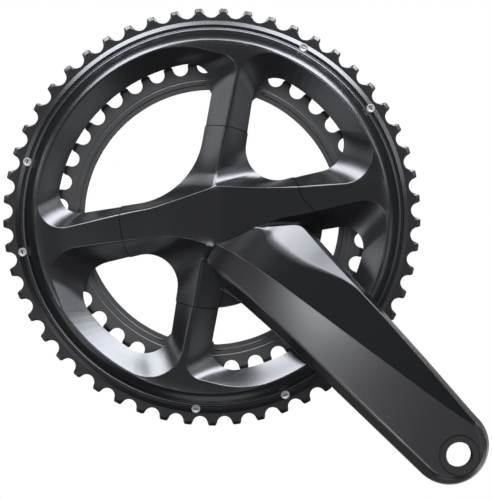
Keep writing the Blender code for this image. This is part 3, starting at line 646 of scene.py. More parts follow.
class Effects:
    """Shader node groups that several finishes share."""

    def __init__(self) -> None:
        """Build each group once."""
        self.grain = self.build_grain()
        self.turning = self.build_turning()

    @staticmethod
    def start(name: str, inputs: dict[str, float], outputs: Sequence[str]) -> bpy.types.NodeTree:
        """Shader group with named value inputs and outputs.

        Args:
            name: Name of the group.
            inputs: Default of each input.
            outputs: Names of the outputs.

        Returns:
            The group.
        """
        tree = bpy.data.node_groups.new(name, "ShaderNodeTree")
        for label, value in inputs.items():
            socket = tree.interface.new_socket(label, in_out="INPUT", socket_type="NodeSocketFloat")
            socket.default_value = value
        for label in outputs:
            tree.interface.new_socket(label, in_out="OUTPUT", socket_type="NodeSocketFloat")
        return tree

    @classmethod
    def build_grain(cls) -> bpy.types.NodeTree:
        """Blasted satin: slow clouds for tone, fine grain for gloss and height.

        Returns:
            The group.
        """
        tree = cls.start(
            "satin_grain",
            {"Cloud Scale": 40.0, "Grain Scale": 3500.0, "Gloss": 0.35, "Gloss Spread": 0.1},
            ("Cloud", "Roughness", "Height"),
        )
        entry = tree.nodes.new("NodeGroupInput").outputs
        coords = tree.nodes.new("ShaderNodeTexCoord").outputs["Object"]
        cloud = add_node(tree, "ShaderNodeTexNoise", {
            "Vector": coords, "Scale": entry["Cloud Scale"], "Detail": 4.0,
        }).outputs["Fac"]
        grain = add_node(tree, "ShaderNodeTexNoise", {
            "Vector": coords, "Scale": entry["Grain Scale"], "Detail": 2.0,
        }).outputs["Fac"]
        centred = calculate(tree, "SUBTRACT", calculate(tree, "ADD", cloud, grain), 1.0)
        rough = calculate(tree, "MULTIPLY_ADD", centred, entry["Gloss Spread"], entry["Gloss"])
        add_node(tree, "NodeGroupOutput", {"Cloud": cloud, "Roughness": rough, "Height": grain})
        return tree

    @classmethod
    def build_turning(cls) -> bpy.types.NodeTree:
        """Fine lathe lines round the crank axis.

        Returns:
            The group.
        """
        tree = cls.start("lathe_lines", {"Line Scale": 3000.0}, ("Lines",))
        entry = tree.nodes.new("NodeGroupInput").outputs
        coords = tree.nodes.new("ShaderNodeTexCoord").outputs["Object"]
        split = add_node(tree, "ShaderNodeSeparateXYZ", {0: coords}).outputs
        flat = add_node(tree, "ShaderNodeCombineXYZ", {"X": split["X"], "Z": split["Z"]})
        length = add_node(tree, "ShaderNodeVectorMath", {0: flat.outputs[0]}, operation="LENGTH")
        place = add_node(tree, "ShaderNodeCombineXYZ", {"X": length.outputs["Value"], "Y": split["Y"]})
        lines = add_node(tree, "ShaderNodeTexNoise", {
            "Vector": place.outputs[0], "Scale": entry["Line Scale"],
        }, noise_dimensions="2D")
        add_node(tree, "NodeGroupOutput", {"Lines": lines.outputs["Fac"]})
        return tree


@dataclass(frozen=True)
class Finish:
    """Surface finish of one material slot."""

    name: str
    slot: str
    dark: Colour
    light: Colour
    gloss: float
    spread: float
    metallic: float
    specular: float = 0.5
    bump: float = 0.02
    bump_depth: float = 0.0002
    grain_scale: float = 3500.0
    cloud_scale: float = 40.0
    lathe: float = 0.0
    second_tone: Colour | None = None
    bare_spot: tuple[float, float, float] | None = None
    bare: Colour = (0.16, 0.16, 0.165)

    def build(self, effects: Effects) -> bpy.types.Material:
        """Make the material.

        Args:
            effects: Shared shader groups.

        Returns:
            The material.
        """
        material = bpy.data.materials.new(self.name)
        material.use_nodes = True
        tree = material.node_tree
        grain = add_node(tree, "ShaderNodeGroup", {
            "Cloud Scale": self.cloud_scale, "Grain Scale": self.grain_scale,
            "Gloss": self.gloss, "Gloss Spread": self.spread,
        }, node_tree=effects.grain).outputs
        colour = self.mix(tree, grain["Cloud"], self.dark, self.light)
        if self.second_tone is not None:
            tone = add_node(tree, "ShaderNodeAttribute", {}, attribute_name="tone")
            colour = self.mix(tree, tone.outputs["Fac"], colour, self.second_tone)
        if self.bare_spot is not None:
            colour = self.mix(tree, self.spot(tree), colour, self.bare)
        height = grain["Height"]
        if self.lathe > 0.0:
            lines = add_node(tree, "ShaderNodeGroup", {}, node_tree=effects.turning)
            height = calculate(tree, "MULTIPLY_ADD", lines.outputs["Lines"], self.lathe, height)
        bump = add_node(tree, "ShaderNodeBump", {
            "Strength": self.bump, "Distance": self.bump_depth, "Height": height,
        })
        feed(tree, tree.nodes["Principled BSDF"], {
            "Metallic": self.metallic, "Specular IOR Level": self.specular, "Base Color": colour,
            "Roughness": grain["Roughness"], "Normal": bump.outputs["Normal"],
        })
        return material

    @staticmethod
    def mix(tree: bpy.types.NodeTree, mask: bpy.types.NodeSocket, first: Colour | bpy.types.NodeSocket,
            second: Colour | bpy.types.NodeSocket) -> bpy.types.NodeSocket:
        """Mix two colours by a mask.

        Args:
            tree: Tree that gets the node.
            mask: Share of the second colour.
            first: The colour, or the socket that gives it.
            second: The other colour, or its socket.

        Returns:
            The mixed colour's socket.
        """
        pair = [(*colour, 1.0) if isinstance(colour, tuple) else colour for colour in (first, second)]
        inputs = {"Factor": mask, 6: pair[0], 7: pair[1]}
        return add_node(tree, "ShaderNodeMix", inputs, data_type="RGBA").outputs[2]

    def spot(self, tree: bpy.types.NodeTree) -> bpy.types.NodeSocket:
        """Mask of the bare machined spot round an axis along the crank axis.

        Args:
            tree: The material's tree.

        Returns:
            Socket that is 1 on the spot.
        """
        x, z, radius = (value * MM for value in self.bare_spot)
        coords = tree.nodes.new("ShaderNodeTexCoord").outputs["Object"]
        shift = add_node(tree, "ShaderNodeMapping", {"Vector": coords, "Location": (-x, 0.0, -z)})
        flat = add_node(tree, "ShaderNodeVectorMath", {0: shift.outputs[0], 1: (1.0, 0.0, 1.0)},
                        operation="MULTIPLY")
        length = add_node(tree, "ShaderNodeVectorMath", {0: flat.outputs[0]}, operation="LENGTH")
        return calculate(tree, "LESS_THAN", length.outputs["Value"], radius)


class Paint(Enum):
    """Finishes of the crankset."""

    ARM = Finish("arm_satin", "dark_anodised", (0.060, 0.063, 0.069), (0.064, 0.067, 0.073),
                 gloss=0.29, spread=0.03, metallic=0.95, bump=0.0006, second_tone=(0.178, 0.181, 0.19),
                 bare_spot=(*PEDAL, 7.15))
    RING = Finish("ring_satin", "dark_anodised", (0.104, 0.108, 0.118), (0.110, 0.114, 0.124),
                  gloss=0.26, spread=0.03, metallic=0.95, bump=0.0006)
    TEETH = Finish("tooth_satin", "dark_anodised", (0.090, 0.093, 0.100), (0.105, 0.107, 0.114),
                   gloss=0.3, spread=0.04, metallic=0.9, bump=0.008)
    INNER = Finish("inner_satin", "grey_anodised", (0.13, 0.133, 0.140), (0.145, 0.148, 0.155),
                   gloss=0.38, spread=0.05, metallic=0.85, bump=0.008, lathe=0.6)
    BLACK = Finish("cup_black", "black_anodised", (0.018, 0.018, 0.02), (0.026, 0.026, 0.028),
                   gloss=0.4, spread=0.1, metallic=0.3, lathe=0.5)
    PLASTIC = Finish("moulded_black", "black_plastic", (0.017, 0.017, 0.017), (0.024, 0.024, 0.024),
                     gloss=0.55, spread=0.12, metallic=0.0, bump=0.06, grain_scale=2500.0)
    RUBBER = Finish("seal_rubber", "rubber", (0.028, 0.012, 0.01), (0.036, 0.016, 0.013),
                    gloss=0.7, spread=0.1, metallic=0.0, bump=0.08)
    STEEL = Finish("ground_steel", "steel", (0.4, 0.4, 0.41), (0.48, 0.48, 0.49),
                   gloss=0.3, spread=0.12, metallic=1.0, lathe=1.0)
    BRIGHT = Finish("bright_pin", "bright_steel", (0.45, 0.45, 0.46), (0.52, 0.52, 0.53),
                    gloss=0.42, spread=0.06, metallic=0.5)


class Workshop:
    """Finishes pieces: material, shading, body and record of what they stand for."""

    def __init__(self) -> None:
        """Build every finish and tree once."""
        effects = Effects()
        self.materials = {paint: paint.value.build(effects) for paint in Paint}
        self.round_axis = RepeatTree.round_axis()
        self.on_points = RepeatTree.on_points()

    def repeat(self, name: str, pattern: bpy.types.Object, places: Sequence[Flat],
               paint: Paint) -> bpy.types.Object:
        """Set copies of a pattern on flat places, and drop the pattern.

        Args:
            name: Name of the object.
            pattern: Shape to copy.
            places: Where the copies go.
            paint: Their finish.

        Returns:
            One object with all the copies.
        """
        mesh = bpy.data.meshes.new(name)
        mesh.from_pydata([(x * MM, 0.0, z * MM) for x, z in places], [], [])
        copies = add_object(name, mesh)
        run_tree(copies, self.on_points, {"Piece": pattern, "Material": self.materials[paint]})
        drop(pattern)
        return copies

    def dress(self, obj: bpy.types.Object, paint: Paint, body: Body, nodes: Sequence[str],
              smooth: float = 32.0) -> None:
        """Finish a piece and put it on its body.

        Args:
            obj: The piece.
            paint: Its finish.
            body: Body that carries it.
            nodes: CAD nodes it stands for.
            smooth: Largest angle in degrees that is shaded smooth.
        """
        obj.data.materials.clear()
        obj.data.materials.append(self.materials[paint])
        obj.data.shade_smooth()
        obj.data.set_sharp_from_angle(angle=math.radians(smooth))
        modifier = obj.modifiers.new("normals", "WEIGHTED_NORMAL")
        modifier.keep_sharp = True
        apply_modifier(obj, modifier)
        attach(obj, body.value)
        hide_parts(*nodes)
        LOG.info("%s: %d faces for %s", obj.name, len(obj.data.polygons), ", ".join(nodes))

    def dress_node(self, name: str, paint: Paint) -> None:
        """Give a CAD node that stays in view its finish.

        Args:
            name: Name of the node.
            paint: Its finish.
        """
        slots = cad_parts[name].data.materials
        slots.clear()
        slots.append(self.materials[paint])
        LOG.info("%s: CAD solid in %s", name, paint.value.name)


# Sculpted front of the outer ring and the spider


@dataclass(frozen=True)
class Window:
    """Window through the front: its opening at the back and its crest in front."""

    opening: tuple[Corner, ...]
    crest: tuple[Corner, ...]
    counts: tuple[int, int, int]
    through: bool = True

    def loops(self, inset: float) -> tuple[np.ndarray, np.ndarray]:
        """Opening, drawn in by an inset, and crest as rows of (x, z)."""
        return shrink(outline(self.opening, self.counts), inset), outline(self.crest, self.counts)


@dataclass
class SculptedFront:
    """Front shared by the outer ring and the spider: a turned rim, four windows and a raised bar."""

    crest: float = 54.05
    bar_rise: float = 4.2
    bar_apex: float = 6.5
    bar_length: float = 84.0
    bar_upper: tuple[Flat, ...] = (
        (-90.0, -9.0), (-76.8, -6.3), (-47.0, 0.1), (-26.5, 5.0), (-5.9, 12.7), (3.3, 15.5), (24.9, 14.75),
        (45.4, 14.75), (72.7, 17.3), (90.0, 19.0),
    )
    bar_lower: tuple[Flat, ...] = (
        (-87.8, -18.1), (-62.4, -14.3), (-45.1, -12.0), (-26.5, -9.7), (-15.7, -10.3), (-5.9, -12.2),
        (4.4, -15.8), (14.6, -20.5), (90.0, -20.5),
    )
    bar_fillet: float = 9.0
    bar_hollow: Flat = (1.6, 1.15)
    lip: float = 46.85
    lip_rise: float = 1.0
    lip_reach: Flat = (30.0, 75.0)
    web: float = 45.4
    opening_radius: float = 80.2
    crest_radius: float = 90.75
    crest_corner: float = 90.8
    large_counts: tuple[int, int, int] = (150, 100, 110)
    small_counts: tuple[int, int, int] = (90, 90, 90)
    roll: tuple[Flat, ...] = (
        (91.05, 53.93), (91.3, 53.81), (91.6, 53.66), (91.9, 53.5), (92.2, 53.32), (92.5, 53.12),
        (92.8, 52.9), (93.1, 52.66), (93.4, 52.41), (93.7, 52.14), (94.0, 51.85), (94.3, 51.55),
        (94.6, 51.23), (94.9, 50.89), (95.2, 50.54), (95.5, 50.17), (95.8, 49.79),
    )
    cove: tuple[Flat, ...] = (
        (96.05, 49.46), (96.25, 49.2), (96.4, 49.02), (96.55, 48.87), (96.7, 48.74), (96.85, 48.63),
        (97.0, 48.54), (97.2, 48.46), (97.45, 48.4),
    )
    groove: tuple[Flat, ...] = (
        (97.75, 48.36), (97.93, 48.28), (98.0, 48.1), (98.03, 47.65), (98.2, 47.47), (99.2, 47.45),
        (99.38, 47.6), (99.42, 48.12), (99.5, 48.3), (99.64, 48.32), (100.6, 47.82), (102.0, 47.08),
        (102.4, 46.86), (102.62, 46.7), (102.74, 46.5),
    )
    crest_round: float = 1.6
    spoke_round: float = 2.2
    spoke_start: float = 18.0
    spoke_start_blend: float = 12.0
    spoke_stop: float = 66.0
    spoke_stop_blend: float = 14.0
    round_limit: float = 0.9
    crest_steps: int = 9
    wall_steps: int = 11
    wall_hollow: float = 0.14
    rim_points: int = 360
    grid_reach: float = 90.0
    grid_step: float = 2.5
    grid_radius: float = 89.5
    grid_gap: float = 1.3
    seam_radius: float = 47.3
    seam_bulge: float = 10.5
    bulge_turns: Flat = (-60.0, 14.0)
    bulge_blend: float = 20.0
    seam_points: int = 331

    def windows(self, spider: bool) -> list[Window]:
        """The four windows in order round the crank axis.

        Args:
            spider: Whether the window behind the arm is closed by the spider's web.

        Returns:
            The windows.
        """
        low, far, turn = self.opening_radius, self.crest_radius, self.crest_corner
        hub_corner = Corner(13.8, 13.7, 16.3, True)
        large_opening = (
            Corner.polar(low, 180.0, 10.4, True), *arc(low, 168.5, 99.5, 24),
            Corner.polar(low, 88.0, 11.7, True), Corner(-9.65, 11.1, 39.6, True),
        )
        large_crest = (
            Corner.polar(turn, 185.8, 14.0, True), *arc(far, 175.5, 107.5, 24),
            Corner.polar(turn, 99.5, 54.0), Corner(14.75, 81.9, 9.0, True), Corner(1.0, 15.0, 2.0, True),
            Corner(-30.0, 4.2, 60.0),
        )
        small_opening = (
            Corner.polar(low, 73.0, 11.5, True), *arc(low, 62.0, 34.0, 10),
            Corner.polar(low, 20.4, 14.5, True), hub_corner,
        )
        small_crest = (
            Corner.polar(turn, 79.2, 15.0, True), *arc(far, 67.5, 25.0, 14),
            Corner.polar(turn, 12.0, 16.0, True), Corner(68.0, 16.6, 60.0), Corner(45.4, 14.75, 60.0),
            Corner(24.9, 14.75, 60.0), Corner(1.35, 15.5, 2.0, True),
        )
        low_left_opening = (
            Corner.polar(low, 73.0, 14.5, True), *arc(low, 59.5, 37.0, 10),
            Corner.polar(low, 20.8, 16.5, True), hub_corner,
        )
        low_left_crest = (
            Corner.polar(turn, 258.0, 18.0, True), *arc(far, 243.5, 212.0, 12),
            Corner(-87.8, -18.1, 14.0, True), Corner(-62.4, -14.3, 60.0), Corner(-45.1, -12.0, 60.0),
            Corner(-26.5, -9.7, 60.0), Corner(-14.0, -10.4, 50.0), Corner(-1.2, -13.9, 3.0, True),
            Corner(-5.25, -22.3, 10.0), Corner(-9.4, -46.1),
        )
        low_right_opening = (
            Corner.polar(low, -2.0, 10.4, True), *arc(low, -13.0, -80.5, 24),
            Corner.polar(low, -92.0, 11.7, True), Corner(9.65, -14.9, 39.6, True),
        )
        low_right_crest = (
            Corner(91.0, 11.6, 11.0, True), *arc(far, -4.5, -72.5, 24), Corner.polar(turn, -80.5, 54.0),
            Corner(-14.75, -81.9, 9.0, True), Corner(-9.05, -46.1), Corner(-4.9, -22.3, 10.0),
            Corner(1.0, -14.6, 2.0, True), Corner(22.3, -4.8, 30.0), Corner(35.2, 0.1, 40.0),
            Corner(49.9, 2.7, 40.0),
        )
        half_turned = tuple(corner.half_turn() for corner in low_left_opening)
        return [
            Window(large_opening, large_crest, self.large_counts),
            Window(small_opening, small_crest, self.small_counts),
            Window(half_turned, low_left_crest, self.small_counts),
            Window(low_right_opening, low_right_crest, self.large_counts, not spider),
        ]

    def rim(self) -> list[Flat]:
        """Stations (radius, out) of the rim: a convex roll, a cove, and the groove between two lips."""
        return [*self.roll, *self.cove, *self.groove]

    def bar_top(self, x: float) -> float:
        """Distance out along the top of the raised bar."""
        return self.crest + self.bar_rise * (1.0 - min(abs(x - self.bar_apex) / self.bar_length, 1.0))

    def bar_share(self, x: float, z: float) -> float:
        """How much of the bar's rise a flat point has, from 1 on the bar to 0 beside it.

        Args:
            x: Place forwards.
            z: Place upwards.

        Returns:
            The share.
        """
        above = z - between(self.bar_upper, x)
        below = between(self.bar_lower, x) - z
        share = 1.0 - min(max(above / self.bar_fillet, below / self.bar_fillet, 0.0), 1.0)
        return share ** (self.bar_hollow[0] if above > below else self.bar_hollow[1])

    def height(self, x: float, z: float) -> float:
        """Distance out of the plateau and its raised bar at a flat point."""
        return self.crest + (self.bar_top(x) - self.crest) * self.bar_share(x, z)

    def rounding(self, x: float, z: float) -> float:
        """Radius of a crest, largest along the two upright spokes.

        Args:
            x: Place forwards.
            z: Place upwards.

        Returns:
            The radius.
        """
        radius = math.hypot(x, z)
        spoke = smooth_step((radius - self.spoke_start) / self.spoke_start_blend)
        spoke *= 1.0 - smooth_step((radius - self.spoke_stop) / self.spoke_stop_blend)
        return self.crest_round + (self.spoke_round - self.crest_round) * spoke * (1.0 - self.bar_share(x, z))

    def lip_height(self, x: float, z: float) -> float:
        """Distance out of a window's lip, higher on the thick hub than at the rim."""
        near, far = self.lip_reach
        return self.lip + self.lip_rise * (1.0 - smooth_step((math.hypot(x, z) - near) / (far - near)))

    def seam(self, stations: Sequence[Flat]) -> bpy.types.Object:
        """Tool solid inside the seam between spider and ring, which bulges out where the arm starts.

        Args:
            stations: Offsets from the seam and their distances out.

        Returns:
            The object.
        """
        first, last = self.bulge_turns
        draft = Draft()
        rows = []
        for offset, out in stations:
            flat = []
            for i in range(self.seam_points):
                turn = i * 360.0 / self.seam_points - 180.0
                bulge = smooth_step((last - turn) / self.bulge_blend)
                bulge *= smooth_step((turn - first) / self.bulge_blend)
                radius = self.seam_radius + offset + self.seam_bulge * bulge
                flat.append(on_circle(radius, math.radians(turn)))
            rows.append(draft.flat_loop(flat, out))
        draft.stack(rows, Ends.CAPPED)
        return draft.solid("seam_tool")

    def window_rows(self, draft: Draft, window: Window, inset: float) -> tuple[list[int], list[int]]:
        """Add one window's wall, from its rounded crest down to its opening.

        Args:
            draft: Draft that takes the wall.
            window: The window.
            inset: How far the window is drawn in.

        Returns:
            The rows of its crest and of its opening.
        """
        opening, crest = window.loops(inset)
        tops = np.array([self.height(x, z) for x, z in crest])
        lips = np.array([self.lip_height(x, z) for x, z in opening])
        width = np.linalg.norm(opening - crest, axis=1)
        fall = tops - lips
        radius = np.minimum([self.rounding(x, z) for x, z in crest], self.round_limit * width)
        slant = np.hypot(width, radius - fall)
        lean = np.arcsin(np.minimum(radius / slant, 1.0)) - np.arctan2(radius - fall, width)
        reaches = []
        for k in range(1, self.crest_steps + 1):
            turn = lean * k / self.crest_steps
            reaches.append((radius * np.sin(turn), radius * (1.0 - np.cos(turn))))
        start, sunk = reaches[-1]
        for k in range(1, self.wall_steps + 1):
            share = k / self.wall_steps
            hollow = self.wall_hollow * share * share * (1.0 - share) * fall
            reaches.append((start + (width - start) * share, sunk + (fall - sunk) * share + hollow))
        rows = [draft.loop(np.column_stack([crest, tops]))]
        for reach, down in reaches:
            flat = crest + (opening - crest) * (reach / width)[:, None]
            rows.append(draft.loop(np.column_stack([flat, tops - down])))
        draft.stack(rows)
        return rows[0], rows[-1]

    def plateau_points(self, draft: Draft, crests: Sequence[Sequence[int]]) -> list[int]:
        """Loose points over the plateau, clear of the crests.

        Args:
            draft: Draft that takes the points.
            crests: Rows round the windows.

        Returns:
            The points' numbers.
        """
        steps = round(2.0 * self.grid_reach / self.grid_step)
        grid = np.linspace(-self.grid_reach, self.grid_reach, steps + 1)
        flat = np.array([(x, z) for x in grid for z in grid])
        flat = flat[np.hypot(flat[:, 0], flat[:, 1]) < self.grid_radius]
        places = np.array(draft.points)[:, :2]
        for row in crests:
            loop = places[row]
            flat = flat[~inside(flat, loop)]
            gap = np.min(np.linalg.norm(flat[:, None, :] - loop[None, ::2, :], axis=2), axis=1)
            flat = flat[gap > self.grid_gap]
        return draft.loop((x, z, self.height(x, z)) for x, z in flat)

    def solid(self, name: str, back: float, inset: float, spider: bool) -> bpy.types.Object:
        """Closed solid of the whole front.

        Args:
            name: Name of the object.
            back: Distance out of its flat back.
            inset: How far its windows are drawn in.
            spider: Whether it is the spider's front.

        Returns:
            The object.
        """
        draft = Draft()
        stations = self.rim()
        stations.append((stations[-1][0], back))
        rows = [draft.flat_loop(ring_points(radius, self.rim_points), out) for radius, out in stations]
        draft.stack(rows)
        crests = []
        holes = []
        for window in self.windows(spider):
            crest, opening = self.window_rows(draft, window, inset)
            crests.append(crest)
            floor = back if window.through else self.web
            foot = draft.flat_loop([draft.points[i][:2] for i in opening], floor)
            draft.bridge(opening, foot)
            if window.through:
                holes.append(foot)
            else:
                draft.cap(foot)
        draft.fill(rows[0], crests, self.plateau_points(draft, crests))
        draft.fill(rows[-1], holes)
        return draft.solid(name)


# Teeth


@dataclass
class ToothedPlate:
    """Flat ring of sprocket teeth, made from one tooth that Geometry Nodes repeat."""

    teeth: int
    first_gap: float
    inner_radius: float
    middle: float
    pitch: float = 12.7
    seat_radius: float = 3.95
    seat_turns: tuple[float, ...] = (0.0, 12.0, 24.0, 36.0, 48.0, 60.0, 70.0, 79.0)
    rise: float = 1.0
    half_thickness: float = 1.0
    tip_half_width: float = 1.9
    tip_steps: tuple[Flat, ...] = ((-1.0, -0.32), (-0.35, 0.0), (-0.05, 0.45))
    front_slope: float = 0.85
    back_slope: float = 0.35
    edge_drop: float = 0.12
    slope_foot: float = 1.2
    slope_tip: float = 0.4
    chamfer: float = 0.2475
    chamfer_growth: float = 1.54
    chamfer_depth: float = 1.5
    chamfer_draw: float = 0.9
    smooth: float = 25.0

    def pitch_radius(self) -> float:
        """Radius of the circle through the chain's rollers."""
        return self.pitch / 2.0 / math.sin(math.pi / self.teeth)

    def flank(self) -> list[Flat]:
        """One flank as (radial, tangential) points, from the middle of a gap up to the tip's corner.

        Returns:
            The points.
        """
        half_turn = math.pi / self.teeth
        radial = Vector(on_circle(1.0, -half_turn))
        along = Vector((math.sin(half_turn), math.cos(half_turn)))
        centre = radial * self.pitch_radius()
        points = []
        for degrees in self.seat_turns:
            down, aside = on_circle(self.seat_radius, math.radians(degrees))
            points.append(tuple(centre - radial * down + along * aside))
        tip = self.pitch_radius() + self.rise
        return points + [(tip + rise, step - self.tip_half_width) for rise, step in self.tip_steps]

    def tooth(self, name: str) -> bpy.types.Object:
        """One tooth with its share of the plate, pointing along +X.

        Args:
            name: Name of the object.

        Returns:
            The object.
        """
        flank = self.flank()
        edge = flank + [(x, -z) for x, z in reversed(flank)]
        root = self.pitch_radius() - self.seat_radius
        slope_start = root + self.slope_foot
        slope_span = self.pitch_radius() + self.rise - self.slope_tip - slope_start
        half_turn = math.pi / self.teeth
        shares = [smooth_step((math.hypot(x, z) - slope_start) / slope_span) for x, z in edge]
        inner = []
        for (x, z), share in zip(edge, shares):
            reach = self.chamfer + self.chamfer_growth * share
            angle = math.atan2(z, x)
            if abs(abs(angle) - half_turn) < MERGE_DISTANCE:
                inner.append(on_circle(root - reach, angle))
            else:
                inward = Vector((root - self.chamfer_depth - x, -z * self.chamfer_draw)).normalized() * reach
                inner.append((x + inward.x, z + inward.y))
        base = [on_circle(self.inner_radius, turn) for turn in (half_turn, 0.0, -half_turn)]
        draft = Draft()
        sides = []
        for sign, slope in ((1.0, self.front_slope), (-1.0, self.back_slope)):
            flat = self.middle + sign * self.half_thickness
            rim = draft.loop(
                (x, z, flat - sign * (self.edge_drop + slope * share)) for (x, z), share in zip(edge, shares)
            )
            face = draft.flat_loop(inner, flat)
            foot = draft.flat_loop(base, flat)
            draft.bridge(rim, face, closed=False)
            draft.cap([*face, *foot])
            sides.append((rim, foot))
        for front, back in zip(*sides):
            draft.bridge(front, back, closed=False)
        return draft.solid(name)

    def build(self, name: str, shop: Workshop, paint: Paint, node: str) -> None:
        """Repeat the tooth round the crank axis and dress the plate.

        Args:
            name: Name of the object.
            shop: Workshop with the tree and the finish.
            paint: The finish.
            node: CAD node that the teeth belong to.
        """
        plate = self.tooth(name)
        turn = math.radians(self.first_gap) + math.pi / self.teeth
        run_tree(plate, shop.round_axis, {
            "Count": self.teeth, "First Turn": turn, "Material": shop.materials[paint],
        })
        bm = bmesh.new()
        bm.from_mesh(plate.data)
        bmesh.ops.recalc_face_normals(bm, faces=bm.faces)
        bm.to_mesh(plate.data)
        bm.free()
        shop.dress(plate, paint, Body.CRANK, [node], self.smooth)


# Sub-assemblies


@dataclass
class OuterRing:
    """Outer chainring: sculpted front, tooth plate and riveted shift pins."""

    front: SculptedFront
    seam: tuple[Flat, ...] = ((-0.13, 30.0), (-0.13, 46.7), (0.2, 47.1), (0.2, 80.0))
    back: float = 46.25
    pocket: tuple[Flat, ...] = ((94.1, 45.25), (90.8, 50.75), (82.4, 45.25))
    pocket_points: int = 320
    teeth: ToothedPlate = field(default_factory=lambda: ToothedPlate(53, 171.65, 96.3, 46.25))
    pin_start: float = 163.4
    pin_steps: tuple[int, ...] = (0, -4, 19, 15, 38, 34)
    pin: tuple[Flat, ...] = (
        (0.2, 48.1), (0.9, 48.1), (1.15, 48.15), (1.32, 48.32), (1.5, 48.42), (1.85, 48.46), (2.15, 48.38),
        (2.28, 48.15), (2.3, 47.6), (1.4, 47.3), (1.4, 44.95), (2.3, 44.95), (2.3, 44.6), (1.95, 43.5),
        (0.3, 43.45),
    )
    pin_points: int = 32
    pin_smooth: float = 40.0

    def build(self, shop: Workshop) -> None:
        """Make and dress the ring's pieces.

        Args:
            shop: Workshop that dresses them.
        """
        body = self.front.solid("outer_ring_front", self.back, 0.0, False)
        combine(body, self.front.seam(self.seam), Boolean.CUT)
        combine(body, turned("pocket_tool", self.pocket, self.pocket_points), Boolean.CUT)
        shop.dress(body, Paint.RING, Body.CRANK, ["outer_chainring"])
        self.teeth.build("outer_teeth", shop, Paint.TEETH, "outer_chainring")
        pattern = turned("pin_pattern", self.pin, self.pin_points, Ends.CAPPED)
        pins = shop.repeat("shift_pins", pattern, self.pin_places(), Paint.BRIGHT)
        nodes = [f"shift_pin_{i + 1}" for i in range(len(self.pin_steps))]
        shop.dress(pins, Paint.BRIGHT, Body.CRANK, nodes, self.pin_smooth)

    def pin_places(self) -> list[Flat]:
        """Flat places of the shift pins, stepped by whole teeth.

        Returns:
            The places.
        """
        step = 360.0 / self.teeth.teeth
        turns = [math.radians(self.pin_start - count * step) for count in self.pin_steps]
        return [on_circle(PIN_CIRCLE, turn) for turn in turns]


@dataclass
class InnerRing:
    """Inner chainring: stepped face, teeth and four tabs behind the arms."""

    teeth: ToothedPlate = field(
        default_factory=lambda: ToothedPlate(39, 148.2, 72.6, 40.75, rise=1.8, tip_half_width=2.1)
    )
    back: float = 39.75
    front: float = 41.75
    face: tuple[Flat, ...] = (
        (66.2, 39.75), (66.2, 41.05), (66.45, 41.3), (68.5, 41.3), (68.75, 41.5), (68.95, 41.72),
        (69.2, 41.75), (71.0, 41.75), (71.2, 41.7), (71.35, 41.6), (71.7, 41.6), (71.85, 41.7),
        (72.05, 41.75), (72.3, 41.75), (72.4, 41.7), (74.0, 41.7), (74.0, 39.8), (72.4, 39.8), (72.3, 39.75),
    )
    face_points: int = 240
    tab_half_width: float = 8.0
    tab_tip: float = 48.2
    tab_root: float = 68.0
    tab_flare: tuple[Corner, ...] = (Corner(0.0, 9.0, key=True), Corner(1.5, 5.5, 4.0), Corner(8.5, 0.0, 6.0))
    tab_counts: tuple[int, int, int] = (24, 48, 8)
    bolt_hole: float = 4.3
    hole_points: int = 32

    def tab(self, angle: float) -> bpy.types.Object:
        """One tab with flared roots and its bolt hole.

        Args:
            angle: Where the tab stands, in degrees.

        Returns:
            The object.
        """
        half = self.tab_half_width
        flare = [(self.tab_root - c.x, half + c.z, c.fillet, c.key) for c in self.tab_flare]
        corners = (
            *[Corner(x, -z, fillet, key) for x, z, fillet, key in flare],
            Corner(self.tab_tip, -half, TAB_ROUND, True), Corner(self.tab_tip, half, TAB_ROUND),
            *[Corner(*values) for values in reversed(flare)],
        )
        flat = spun(outline(corners, self.tab_counts), angle)
        hole_at = on_circle(BOLT_CIRCLE, math.radians(angle))
        draft = Draft()
        levels = []
        for out in (self.back, self.front):
            edge = draft.flat_loop(flat, out)
            hole = draft.flat_loop(ring_points(self.bolt_hole, self.hole_points, hole_at), out)
            draft.fill(edge, [hole])
            levels.append((edge, hole))
        for lower, upper in zip(*levels):
            draft.bridge(lower, upper)
        return draft.solid("inner_tab")

    def build(self, shop: Workshop) -> None:
        """Make and dress the ring's pieces.

        Args:
            shop: Workshop that dresses them.
        """
        ring = turned("inner_ring_face", self.face, self.face_points)
        merge_into(ring, [self.tab(angle) for angle in ARM_ANGLES])
        shop.dress(ring, Paint.INNER, Body.CRANK, ["inner_chainring"])
        self.teeth.build("inner_teeth", shop, Paint.INNER, "inner_chainring")


